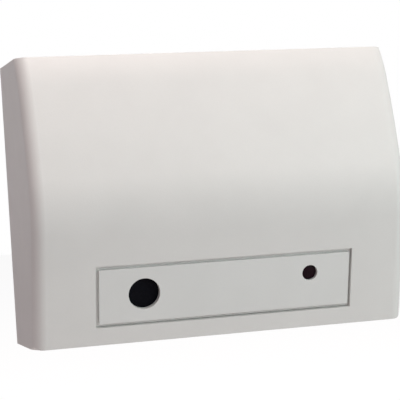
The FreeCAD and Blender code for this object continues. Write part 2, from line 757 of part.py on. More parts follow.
def make_hook_windows(body):
    """Slots in the base's top rim that the cover's hooks stand in."""
    front = size("hook_start") + size("hook_thick") + size("hook_swing")
    cut = sketch_on(body, "hook_window_outlines", shift=(0, 0, front))
    for side in (-1, 1):
        centred(cut, side * size("hook_across"), RIM_HALF_Z - size("rim_wall") / 2,
                size("hook_width") + 2 * size("hook_gap"), size("rim_wall") * 3)
    pocket(body, cut, "hook_windows", front - size("base_thick"))


def make_battery_bay(body):
    up = BATTERY_UP
    wall = size("bay_wall")
    left = BAY_LEFT
    trough = sketch_on(body, "trough_outline", shift=(0, 0, size("base_thick")))
    rectangle(trough, left - wall, up - size("trough_half"), BAY_RIGHT + wall,
              up + size("trough_half"))
    pad(body, trough, "trough", size("trough_depth") - size("base_thick"))
    ends = sketch_on(body, "bay_end_outlines", shift=(0, 0, size("base_thick")))
    rectangle(ends, left - wall, up - size("bay_end_half"), left, up + size("bay_end_half"))
    rectangle(ends, BAY_RIGHT, up - size("bay_end_half"), BAY_RIGHT + wall,
              up + size("bay_end_half"))
    pad(body, ends, "bay_ends", size("bay_end_depth") - size("base_thick"))
    hollow = sketch_on(body, "battery_hollow_outline", "YZ_Plane", (0, 0, BAY_RIGHT))
    circle(hollow, -size("battery_depth"), up, size("battery_radius") + size("battery_gap"))
    pocket(body, hollow, "battery_hollow", BAY_RIGHT - left)


def make_rear_base():
    body = new_body("rear_base")
    make_base_tray(body)
    make_back_recesses(body)
    make_hook_windows(body)

    nub = sketch_on(body, "nub_outline", shift=(0, 0, size("nub_start")))
    rectangle(nub, -size("nub_width") / 2, -RIM_HALF_Z - size("nub_reach"),
              size("nub_width") / 2, -RIM_HALF_Z + size("rim_wall") / 2)
    pad(body, nub, "closing_nub", size("nub_thick"))

    make_battery_bay(body)

    posts = sketch_on(body, "post_outlines", shift=(0, 0, size("base_thick")))
    for across, up in board_posts():
        circle(posts, across, up, size("post_radius"))
    pad(body, posts, "board_posts", size("board_back") - size("base_thick"))
    pilots = sketch_on(body, "pilot_outlines", shift=(0, 0, size("board_back")))
    for across, up in board_posts():
        circle(pilots, across, up, size("pilot_radius"))
    pocket(body, pilots, "pilot_holes", size("pilot_depth"))

    holes = sketch_on(body, "mount_hole_outlines", shift=(0, 0, size("base_thick")))
    seats = sketch_on(body, "mount_seat_outlines", shift=(0, 0, size("base_thick")))
    for side in (-1, 1):
        for level in (-1, 1):
            across = side * size("mount_across") / 2
            up = level * size("mount_up") / 2
            circle(holes, across, up, size("mount_hole_radius"))
            circle(seats, across, up, size("mount_seat_radius"))
    pocket(body, seats, "mount_seats", size("mount_seat_sink"))
    pocket(body, holes, "mount_holes", size("base_thick") * 2)
    return body


# Board and its screws

def make_circuit_board():
    body = new_body("circuit_board")
    half = BOARD_HALF
    split = BAY_RIGHT + size("board_split")
    board = sketch_on(body, "board_outline", shift=(0, 0, size("board_back")))
    outline(board, [(-half, BOARD_FOOT), (half, BOARD_FOOT), (half, BOARD_HEAD),
                    (split, BOARD_HEAD), (split, size("board_step")),
                    (-half, size("board_step"))])
    for across, up in board_posts():
        circle(board, across, up, size("board_hole_radius"))
    pad(body, board, "board_plate", size("board_thick"))
    return body


def make_board_screws():
    body = new_body("board_screws")
    heads = sketch_on(body, "head_outlines", shift=(0, 0, BOARD_FRONT))
    shanks = sketch_on(body, "shank_outlines", shift=(0, 0, BOARD_FRONT))
    crosses = sketch_on(body, "cross_outlines",
                        shift=(0, 0, BOARD_FRONT + size("screw_head_thick")))
    reach = size("screw_slot_reach") / 2
    half = size("screw_slot") / 2
    for across, up in board_posts():
        circle(heads, across, up, size("screw_head_radius"))
        circle(shanks, across, up, size("pilot_radius") - size("screw_gap"))
        outline(crosses, [
            (across - reach, up - half), (across - half, up - half), (across - half, up - reach),
            (across + half, up - reach), (across + half, up - half), (across + reach, up - half),
            (across + reach, up + half), (across + half, up + half), (across + half, up + reach),
            (across - half, up + reach), (across - half, up + half), (across - reach, up + half)])
    pad(body, heads, "heads", size("screw_head_thick"))
    pad(body, shanks, "shanks", size("screw_length"), backwards=True)
    pocket(body, crosses, "cross_recesses", size("screw_head_thick") / 2)
    return body


# Battery and its contacts

def make_battery():
    body = new_body("battery")
    nub = size("battery_nub")
    length = size("battery_length")
    radius = size("battery_radius")
    profile = sketch_on(body, "battery_profile", "XY_Plane")
    outline(profile, [(0, 0), (length, 0), (length, radius), (nub, radius),
                      (nub, size("battery_nub_radius")), (0, size("battery_nub_radius"))])
    can = turn(body, profile, "battery_can", "H_Axis")
    bevel_edges(body, can, "battery_bevel", size("battery_bevel"),
                lambda edge, middle: near(edge.Length, 2 * math.pi * radius.value))
    left = BAY_LEFT + size("contact_thick") + size("dimple_rise")
    place(body, left, size("battery_depth"), BATTERY_UP)
    return body


def make_contact(label, side):
    """A battery contact: a plate on the bay's end wall, a tail and a soldered foot.
    side is 1 for the left end and -1 for the right end."""
    body = new_body(label)
    thick = size("contact_thick")
    wall_face = BAY_LEFT if side > 0 else BAY_RIGHT
    inner = wall_face + side * thick
    up = BATTERY_UP
    foot_up = size("board_step") - size("contact_foot_inset")
    foot_down = foot_up - size("contact_foot_wide")
    strip = sketch_on(body, f"{label}_outline", "YZ_Plane", (0, 0, wall_face))
    outline(strip, [
        (-size("contact_low"), up - size("contact_half")),
        (-size("contact_low"), up + size("contact_half")),
        (-size("contact_high"), up + size("contact_half")),
        (-size("contact_high"), up),
        (-size("board_back"), up - size("contact_half")),
        (-size("board_back"), foot_down),
        (-size("contact_tail_low"), foot_down),
        (-size("contact_tail_low"), up - size("contact_half"))])
    pad(body, strip, f"{label}_strip", thick, backwards=side < 0)
    foot = sketch_on(body, f"{label}_foot_outline", shift=(0, 0, size("board_back")))
    foot_end = wall_face + side * size("contact_foot")
    left, right = (wall_face, foot_end) if side > 0 else (foot_end, wall_face)
    rectangle(foot, left, foot_down, right, foot_up)
    pad(body, foot, f"{label}_foot", thick, backwards=True)
    return body, inner


def make_positive_contact():
    body, inner = make_contact("battery_contact_positive", 1)
    dimple = sketch_on(body, "dimple_outline", "YZ_Plane", (0, 0, inner))
    circle(dimple, -size("battery_depth"), BATTERY_UP, size("dimple_radius"))
    pad(body, dimple, "dimple", size("dimple_rise"))
    return body


def make_negative_contact():
    """The contact with the bowed leaf that presses the battery to the left."""
    body, inner = make_contact("battery_contact_negative", -1)
    thick = size("contact_thick")
    rise = size("leaf_rise")
    middle = (size("contact_low") + size("contact_high")) / 2
    half = (size("contact_high") - size("contact_low")) / 2
    outer_radius = (half * half + rise * rise) / (2 * rise)
    inner_rise = rise - thick
    inner_half = half - thick
    inner_radius = (inner_half * inner_half + inner_rise * inner_rise) / (2 * inner_rise)
    leaf = sketch_on(body, "leaf_outline", "XY_Plane", (0, 0, BATTERY_UP))
    outline(leaf, [(inner, -(middle + half)), (inner, -(middle - half)),
                   (inner, -(middle - inner_half)), (inner, -(middle + inner_half))],
            {0: (outer_radius, 1), 2: (inner_radius, -1)})
    pad(body, leaf, "leaf", size("leaf_half") * 2, both=True)
    return body


# Microphone

MIC_UP = face_height(size("mic_up"), PANEL_THICK + size("felt_thick"))
CAPSULE_BACK = BOARD_FRONT + size("capsule_stand")
CAPSULE_FRONT = CAPSULE_BACK + size("capsule_length")


def make_microphone_boot():
    """Rubber boot around the capsule, cut off parallel to the leaning panel."""
    body = new_body("microphone_boot")
    across = size("mic_across")
    face = PANEL_THICK + size("felt_thick") + RUNNING
    reach = face_depth(size("mic_up"), face) + size("boot_radius")
    tube = sketch_on(body, "boot_outline", shift=(0, 0, BOARD_FRONT))
    circle(tube, across, MIC_UP, size("boot_radius"))
    pad(body, tube, "boot_tube", reach - BOARD_FRONT)
    trim = face_sketch(body, "boot_trim_outline", face)
    centred(trim, across, size("mic_up"), size("boot_radius") * 4, size("boot_radius") * 4)
    pocket(body, trim, "boot_trim", size("boot_radius") * 3, forwards=True)
    seat = sketch_on(body, "boot_seat_outline",
                     shift=(0, 0, CAPSULE_FRONT + size("capsule_gap")))
    circle(seat, across, MIC_UP, size("capsule_radius") + size("capsule_gap"))
    pocket(body, seat, "boot_seat", CAPSULE_FRONT + size("capsule_gap") - BOARD_FRONT)
    port = sketch_on(body, "boot_port_outline", shift=(0, 0, reach))
    circle(port, across, MIC_UP, size("boot_port_radius"))
    pocket(body, port, "boot_port", reach - CAPSULE_FRONT)
    return body


def make_microphone_capsule():
    body = new_body("microphone_capsule")
    length = size("capsule_length")
    radius = size("capsule_radius")
    profile = sketch_on(body, "capsule_profile", "XY_Plane")
    dent = size("capsule_bevel")
    outline(profile, [(0, 0), (radius, 0), (radius, -length),
                      (size("capsule_port_radius"), -length),
                      (size("capsule_port_radius"), -length + dent), (0, -length + dent)])
    can = turn(body, profile, "capsule_can")
    bevel_edges(body, can, "capsule_edge", dent,
                lambda edge, middle: near(edge.Length, 2 * math.pi * radius.value)
                and middle.y < -length.value / 2)
    pins = sketch_on(body, "capsule_pins_outline")
    for side in (-1, 1):
        circle(pins, side * size("pin_spacing") / 2, 0, size("pin_radius"))
    pad(body, pins, "capsule_pins", size("capsule_stand"), backwards=True)
    place(body, size("mic_across"), CAPSULE_BACK, MIC_UP)
    return body


# Indicator lamp

LAMP_UP = face_height(size("led_up"), PANEL_THICK)
LAMP_TIP = face_depth(size("led_up"), PANEL_THICK + size("lens_flange_thick")) \
    - size("lamp_clear")
LAMP_BACK = LAMP_TIP - size("lamp_length")


def make_indicator_lamp():
    body = new_body("indicator_lamp")
    length = size("lamp_length")
    radius = size("lamp_radius")
    profile = sketch_on(body, "lamp_profile", "XY_Plane")
    outline(profile, [(0, 0), (size("lamp_flange_radius"), 0),
                      (size("lamp_flange_radius"), -size("lamp_flange")),
                      (radius, -size("lamp_flange")), (radius, radius - length), (0, -length)],
            {4: (radius, 1)})
    turn(body, profile, "lamp_body")
    leads = sketch_on(body, "lamp_leads_outline")
    for side in (-1, 1):
        centred(leads, side * size("pin_spacing") / 2, 0, size("pin_radius") * 2,
                size("pin_radius") * 2)
    pad(body, leads, "lamp_leads", LAMP_BACK - BOARD_FRONT, backwards=True)
    place(body, size("led_across"), LAMP_BACK, LAMP_UP)
    return body


def make_lamp_spacer():
    body = new_body("lamp_spacer")
    ring = sketch_on(body, "spacer_outline", shift=(0, 0, BOARD_FRONT))
    circle(ring, size("led_across"), LAMP_UP, size("spacer_radius"))
    for side in (-1, 1):
        centred(ring, size("led_across") + side * size("pin_spacing") / 2, LAMP_UP,
                (size("pin_radius") + size("spacer_gap")) * 2,
                (size("pin_radius") + size("spacer_gap")) * 2)
    pad(body, ring, "spacer_ring", LAMP_BACK - BOARD_FRONT)
    return body


# Tamper switch

TAMPER_FRONT = BOARD_FRONT + size("tamper_height") + size("tamper_collar")


def make_tamper_switch():
    body = new_body("tamper_switch_body")
    across = size("tamper_across")
    up = -size("tamper_down")
    gap = size("plunger_gap")
    case = sketch_on(body, "tamper_case_outline", shift=(0, 0, BOARD_FRONT))
    centred(case, across, up, size("tamper_side"), size("tamper_side"))
    block = pad(body, case, "tamper_case", size("tamper_height"))
    bevel_edges(body, block, "tamper_bevel", size("chip_bevel"),
                lambda edge, middle: near(middle.y, -(BOARD_FRONT + size("tamper_height")).value))
    collar = sketch_on(body, "tamper_collar_outline",
                       shift=(0, 0, BOARD_FRONT + size("tamper_height")))
    circle(collar, across, up, size("tamper_collar_radius"))
    pad(body, collar, "tamper_collar", size("tamper_collar"))
    bore = sketch_on(body, "tamper_bore_outline", shift=(0, 0, TAMPER_FRONT))
    circle(bore, across, up, size("plunger_radius") + gap)
    pocket(body, bore, "tamper_bore", TAMPER_FRONT - BOARD_FRONT - size("plunger_floor"))
    room = size("plunger_foot") + size("plunger_travel") + gap * 2
    chamber = sketch_on(body, "tamper_chamber_outline",
                        shift=(0, 0, BOARD_FRONT + size("plunger_floor") + room))
    circle(chamber, across, up, size("plunger_foot_radius") + gap)
    pocket(body, chamber, "tamper_chamber", room)
    return body


def make_tamper_plunger():
    body = new_body("tamper_plunger")
    across = size("tamper_across")
    up = -size("tamper_down")
    back = BOARD_FRONT + size("plunger_floor") + size("plunger_gap")
    tip = TAMPER_FRONT + size("plunger_out")
    rod = sketch_on(body, "plunger_outline", shift=(0, 0, back))
    circle(rod, across, up, size("plunger_radius"))
    shaft = pad(body, rod, "plunger_rod", tip - back)
    bevel_edges(body, shaft, "plunger_tip", size("plunger_bevel"),
                lambda edge, middle: near(middle.y, -tip.value))
    foot = sketch_on(body, "plunger_foot_outline", shift=(0, 0, back))
    circle(foot, across, up, size("plunger_foot_radius"))
    pad(body, foot, "plunger_foot", size("plunger_foot"))
    return body


# Setting switch

SETTING_FRONT = BOARD_FRONT + size("setting_thick")


def slider_place(side):
    return size("setting_across") + side * size("setting_pitch") / 2


def make_setting_switch():
    body = new_body("setting_switch_body")
    case = sketch_on(body, "setting_case_outline", shift=(0, 0, BOARD_FRONT))
    centred(case, size("setting_across"), -size("setting_down"), size("setting_width"),
            size("setting_tall"))
    block = pad(body, case, "setting_case", size("setting_thick"))
    bevel_edges(body, block, "setting_bevel", size("chip_bevel"),
                lambda edge, middle: near(middle.y, -SETTING_FRONT.value))
    slots = sketch_on(body, "setting_slot_outlines", shift=(0, 0, SETTING_FRONT))
    for side in (-1, 1):
        centred(slots, slider_place(side), -size("setting_down"), size("slot_width"),
                size("slot_length"))
    pocket(body, slots, "setting_slots", size("slot_deep"))
    return body


def make_setting_slider(label, side, end):
    """One slider; end is -1 at the bottom of its slot and 1 at the top."""
    body = new_body(label)
    start = SETTING_FRONT - size("slot_deep") + size("slider_gap")
    knob = sketch_on(body, f"{label}_outline", shift=(0, 0, start))
    travel = size("slot_length") - size("slider_length") - 2 * size("slider_gap")
    centred(knob, slider_place(side), end * travel / 2 - size("setting_down"),
            size("slot_width") - 2 * size("slider_gap"), size("slider_length"))
    pad(body, knob, f"{label}_knob", size("slider_tall"))
    return body


# Parts soldered to the board

def make_radio_shield():
    body = new_body("radio_shield")
    lid = sketch_on(body, "shield_outline", shift=(0, 0, BOARD_FRONT))
    centred(lid, size("shield_across"), size("shield_up"), size("shield_width"),
            size("shield_height"))
    thick = size("shield_thick")
    block = pad(body, lid, "shield_can", thick)
    corners = round_edges(body, block, "shield_corner_round", size("shield_round"),
                          lambda edge, middle: near(edge.BoundBox.YLength, thick.value))
    front = -(BOARD_FRONT + thick).value
    bevel_edges(body, corners, "shield_front_bevel", size("shield_bevel"),
                lambda edge, middle: near(middle.y, front))
    sheet = size("shield_sheet")
    hollow = sketch_on(body, "shield_hollow_outline", shift=(0, 0, BOARD_FRONT))
    centred(hollow, size("shield_across"), size("shield_up"),
            size("shield_width") - (sheet + size("shield_round")) * 2,
            size("shield_height") - (sheet + size("shield_round")) * 2)
    pocket(body, hollow, "shield_hollow", thick - sheet, forwards=True)
    return body


def make_chip(label, across, down, width, height):
    body = new_body(label)
    gap = size("lead_thick")
    case = sketch_on(body, f"{label}_outline", shift=(0, 0, BOARD_FRONT + gap / 2))
    centred(case, across, -down, width, height)
    block = pad(body, case, f"{label}_case", size("chip_thick") - gap / 2)
    bevel_edges(body, block, f"{label}_bevel", size("chip_bevel"),
                lambda edge, middle: near(middle.y, -(BOARD_FRONT + size("chip_thick")).value))
    return body


def make_leads(label, across, down, width, height, pitch, count, four_sided):
    """Chip leads as separate feet on the board, count of them beside two or all four sides."""
    body = new_body(label)
    reach = size("lead_reach")
    start = pitch * (count - 1) / 2
    feet = sketch_on(body, f"{label}_side_outline", shift=(0, 0, BOARD_FRONT))
    for side in (-1, 1):
        centred(feet, across + side * (width + reach) / 2, -down - start, reach,
                size("lead_width"))
    first = pad(body, feet, f"{label}_side_feet", size("lead_thick"))
    repeat(body, first, f"{label}_side_rows", "Z_Axis", pitch, count)
    if four_sided:
        ends = sketch_on(body, f"{label}_end_outline", shift=(0, 0, BOARD_FRONT))
        for side in (-1, 1):
            centred(ends, across - start, -down + side * (height + reach) / 2,
                    size("lead_width"), reach)
        second = pad(body, ends, f"{label}_end_feet", size("lead_thick"))
        repeat(body, second, f"{label}_end_rows", "X_Axis", pitch, count)
    return body


# Flat left between two end rounds, so that they do not meet
ROUND_END_REST = dim(0.1)


def make_crystal():
    body = new_body("crystal")
    lip = size("crystal_lip")
    width = size("crystal_width")
    layers = (("crystal_base", lip, BOARD_FRONT, lip),
              ("crystal_can", dim(0), BOARD_FRONT + lip, size("crystal_thick") - lip))
    for name, extra, start, length in layers:
        can = sketch_on(body, f"{name}_outline", shift=(0, 0, start))
        centred(can, size("crystal_across"), -size("crystal_down"),
                size("crystal_length") + extra * 2, width + extra * 2)
        last = pad(body, can, name, length)
    for name, extra, start, length in reversed(layers):
        last = round_edges(body, last, f"{name}_ends", width / 2 + extra - ROUND_END_REST,
                           lambda edge, middle: near(edge.Length, length.value))
    front = -(BOARD_FRONT + size("crystal_thick")).value
    bevel_edges(body, last, "crystal_bevel", lip,
                lambda edge, middle: near(middle.y, front))
    return body


def make_buffer_capacitor(number):
    label = f"buffer_capacitor_{number}"
    body = new_body(label)
    foot = sketch_on(body, "buffer_foot_outline")
    centred(foot, 0, 0, size("buffer_foot_side"), size("buffer_foot_side"))
    block = pad(body, foot, "buffer_foot", size("buffer_foot"))
    bevel_edges(body, block, "buffer_foot_bevel", size("buffer_foot"),
                lambda edge, middle: near(edge.Length, size("buffer_foot").value)
                and middle.x > 0)
    radius = size("buffer_radius")
    neck = size("buffer_neck")
    top = size("buffer_foot") + size("buffer_height")
    profile = sketch_on(body, "buffer_profile", "XY_Plane")
    outline(profile, [(0, 0), (radius, 0), (radius, -size("buffer_foot") - neck),
                      (radius - neck, -size("buffer_foot") - 2 * neck),
                      (radius, -size("buffer_foot") - 3 * neck), (radius, neck - top),
                      (radius - neck, -top), (0, -top)])
    turn(body, profile, "buffer_can")
    place(body, size("buffer_across") + (number - 1) * size("buffer_pitch"), BOARD_FRONT,
          -size("buffer_down"))
    return body


def make_chip_parts():
    """Small resistors and capacitors around the bigger parts, as separate solids."""
    body = new_body("chip_parts")
    length = size("passive_length")
    width = size("passive_width")
    pitch = size("passive_pitch")
    step = size("passive_step")
    amp_side = size("amp_across") + size("amp_width") / 2 + step
    columns = (("beside_processor", size("chip_across") + size("chip_side") / 2 + step,
                -size("chip_down"), 5),
               ("beside_amplifier", amp_side, -size("amp_down"), 4),
               ("next_column", amp_side + step, -size("amp_down"), 4),
               ("below_crystal", size("crystal_across"),
                -size("crystal_down") - size("crystal_width") - step, 2))
    for name, across, up, count in columns:
        spot = sketch_on(body, f"{name}_outline", shift=(0, 0, BOARD_FRONT))
        centred(spot, across, up - pitch * (count - 1) / 2, length, width)
        first = pad(body, spot, name, size("passive_thick"))
        repeat(body, first, f"{name}_column", "Z_Axis", pitch, count)
    row_count = 5
    spot = sketch_on(body, "below_shield_outline", shift=(0, 0, BOARD_FRONT))
    centred(spot, size("shield_across") - step * (row_count - 1) / 2,
            size("shield_up") - size("shield_height") / 2 - length, width, length)
    first = pad(body, spot, "below_shield", size("passive_thick"))
    repeat(body, first, "below_shield_row", "X_Axis", step, row_count)
    return body


def make_antenna():
    """Sheet strip that rises from the board, runs across in front of it and goes back down."""
    body = new_body("antenna_strip")
    thick = size("antenna_thick")
    left = size("antenna_left")
    screw_across = board_posts()[2][0]
    right = screw_across - size("screw_head_radius") - size("antenna_clear")
    low = -BOARD_FRONT
    high = low - size("antenna_rise")
    bend = size("antenna_bend")
    strip = sketch_on(body, "antenna_profile", "XY_Plane", (0, 0, BOARD_HEAD - size("antenna_drop")))
    outline(strip, [(left, low), (left, high), (right, high), (right, low),
                    (right - thick, low), (right - thick, high + thick),
                    (left + thick, high + thick), (left + thick, low)])
    block = pad(body, strip, "antenna_bracket", size("antenna_wide"), both=True)
    outer = round_edges(body, block, "antenna_outer_bends", bend,
                        lambda edge, middle: near(middle.y, high.value)
                        and near(edge.Length, size("antenna_wide").value))
    round_edges(body, outer, "antenna_inner_bends", bend - thick,
                lambda edge, middle: near(middle.y, (high + thick).value)
                and near(edge.Length, size("antenna_wide").value))
    return body


# Assembly

def build_all():
    make_front_cover()
    make_sensor_panel()
    make_acoustic_felt()
    make_indicator_lens()
    make_rear_base()
    make_circuit_board()
    make_board_screws()
    make_battery()
    make_positive_contact()
    make_negative_contact()
    make_microphone_boot()
    make_microphone_capsule()
    make_indicator_lamp()
    make_lamp_spacer()
    make_tamper_switch()
    make_tamper_plunger()
    make_setting_switch()
    make_setting_slider("setting_slider_1", -1, -1)
    make_setting_slider("setting_slider_2", 1, 1)
    make_radio_shield()
    make_chip("processor_chip", size("chip_across"), size("chip_down"), size("chip_side"),
              size("chip_side"))
    make_leads("processor_leads", size("chip_across"), size("chip_down"), size("chip_side"),
               size("chip_side"), size("chip_lead_pitch"), count=8, four_sided=True)
    make_chip("amplifier_chip", size("amp_across"), size("amp_down"), size("amp_width"),
              size("amp_height"))
    make_leads("amplifier_leads", size("amp_across"), size("amp_down"), size("amp_width"),
               size("amp_height"), size("amp_lead_pitch"), count=6, four_sided=False)
    make_crystal()
    for number in (1, 2):
        make_buffer_capacitor(number)
    make_chip_parts()
    make_antenna()


def check_all():
    """Stop if any object failed or any sub-part's shape is missing or faulty."""
    DOC.recompute()
    for thing in DOC.Objects:
        if "Invalid" in thing.State or "Error" in thing.State:
            raise RuntimeError(f"{thing.Name} failed: {thing.State}")
    for part in PARTS:
        if part.Shape.isNull() or not part.Shape.isValid() or not part.Shape.Solids:
            raise RuntimeError(f"{part.Label} has no good shape")


def write_all():
    os.makedirs("parts", exist_ok=True)
    for part in PARTS:
        part.Shape.exportStep(f"parts/{part.Label}.step")
        print(part.Label, len(part.Shape.Solids), "solids", round(part.Shape.Volume, 2), "mm3")


build_all()
check_all()
write_all()
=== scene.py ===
"""A glass break sensor for a wall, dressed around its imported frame.

Shapes are worked out in millimetres, with X to the right, Y into the wall and Z up, and
become metres when a piece is made. Depths are measured from the wall to the front.
"""

import logging
import math
from collections.abc import Callable, Iterable, Iterator, Mapping, Sequence
from contextlib import contextmanager
from dataclasses import dataclass
from enum import Enum
from functools import cached_property
from typing import Any, Union

import bmesh
import bpy
import numpy as np
from mathutils import Matrix, Vector

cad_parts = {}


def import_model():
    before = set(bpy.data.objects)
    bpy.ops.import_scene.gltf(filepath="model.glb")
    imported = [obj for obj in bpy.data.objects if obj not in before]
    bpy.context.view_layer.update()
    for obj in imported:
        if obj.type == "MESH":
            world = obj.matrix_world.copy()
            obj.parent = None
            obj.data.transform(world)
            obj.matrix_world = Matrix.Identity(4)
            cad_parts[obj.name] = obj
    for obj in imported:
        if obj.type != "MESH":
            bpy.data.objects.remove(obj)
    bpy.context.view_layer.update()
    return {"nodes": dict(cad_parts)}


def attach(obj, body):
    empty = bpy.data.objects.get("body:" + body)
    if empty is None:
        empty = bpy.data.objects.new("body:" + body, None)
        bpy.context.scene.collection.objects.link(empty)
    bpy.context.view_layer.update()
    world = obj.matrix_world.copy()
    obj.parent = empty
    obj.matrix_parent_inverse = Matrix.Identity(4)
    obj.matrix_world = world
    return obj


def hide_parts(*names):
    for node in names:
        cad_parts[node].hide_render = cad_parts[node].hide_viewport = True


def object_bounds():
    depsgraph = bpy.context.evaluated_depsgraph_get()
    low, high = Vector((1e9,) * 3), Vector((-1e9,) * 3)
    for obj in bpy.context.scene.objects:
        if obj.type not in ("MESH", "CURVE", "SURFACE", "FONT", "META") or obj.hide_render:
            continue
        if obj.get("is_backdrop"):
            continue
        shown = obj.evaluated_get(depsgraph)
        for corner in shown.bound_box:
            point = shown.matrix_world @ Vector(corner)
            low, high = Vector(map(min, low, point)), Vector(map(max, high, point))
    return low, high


LOG = logging.getLogger("glass_break_sensor")
MM = 0.001

Colour = tuple[float, float, float]
Point = tuple[float, float]
Corner = tuple[float, float, float]
Placing = Callable[[float, float, float], Corner]
Operand = Union["Signal", float, Sequence[float]]
Thing = bpy.types.Object

WHITE: Colour = (1.0, 1.0, 1.0)


# Shader writing


def joined(operation: str, swapped: bool = False) -> Callable[["Signal", Operand], "Signal"]:
    """Make the operator that joins a signal to another operand.

    Args:
        operation: The operation of its Math or Vector Math node.
        swapped: Whether the other operand comes first.

    Returns:
        The operator.
    """
    def join(signal: "Signal", other: Operand) -> "Signal":
        """Add the node that joins both.

        Args:
            signal: The signal.
            other: The other operand.

        Returns:
            The joined signal.
        """
        pair = (other, signal) if swapped else (signal, other)
        numbers = all(Shader.is_number(one) for one in pair)
        kind = "ShaderNodeMath" if numbers else "ShaderNodeVectorMath"
        return signal.shader.node(kind, {"operation": operation}, dict(enumerate(pair)))

    return join


class Signal:
    """One shader socket that can be used in sums, products and comparisons."""

    __add__, __radd__ = joined("ADD"), joined("ADD", True)
    __sub__, __rsub__ = joined("SUBTRACT"), joined("SUBTRACT", True)
    __mul__, __rmul__ = joined("MULTIPLY"), joined("MULTIPLY", True)
    __mod__, __rmod__ = joined("FLOORED_MODULO"), joined("FLOORED_MODULO", True)
    __lt__, __gt__ = joined("LESS_THAN"), joined("GREATER_THAN")
    least, most = joined("MINIMUM"), joined("MAXIMUM")

    def __init__(self, shader: "Shader", socket: bpy.types.NodeSocket) -> None:
        """Keep the socket and the shader that it belongs to."""
        self.shader = shader
        self.socket = socket

    def __abs__(self) -> "Signal":
        """Drop the sign."""
        return self.shader.node("ShaderNodeMath", {"operation": "ABSOLUTE"}, {0: self})

    def part(self, axis: str) -> "Signal":
        """Give one part of a vector, X, Y or Z."""
        return self.shader.node("ShaderNodeSeparateXYZ", sockets={0: self}, output=axis)

    def between(self, low: float, high: float, start: float = 0.0, end: float = 1.0) -> "Signal":
        """Map a range smoothly onto another one, and stop at its ends.

        Args:
            low: Where the range starts.
            high: Where the range ends.
            start: What the start becomes.
            end: What the end becomes.

        Returns:
            The mapped signal.
        """
        settings = {"interpolation_type": "SMOOTHSTEP", "clamp": True}
        return self.shader.node("ShaderNodeMapRange", settings,
                                {0: self, 1: low, 2: high, 3: start, 4: end})


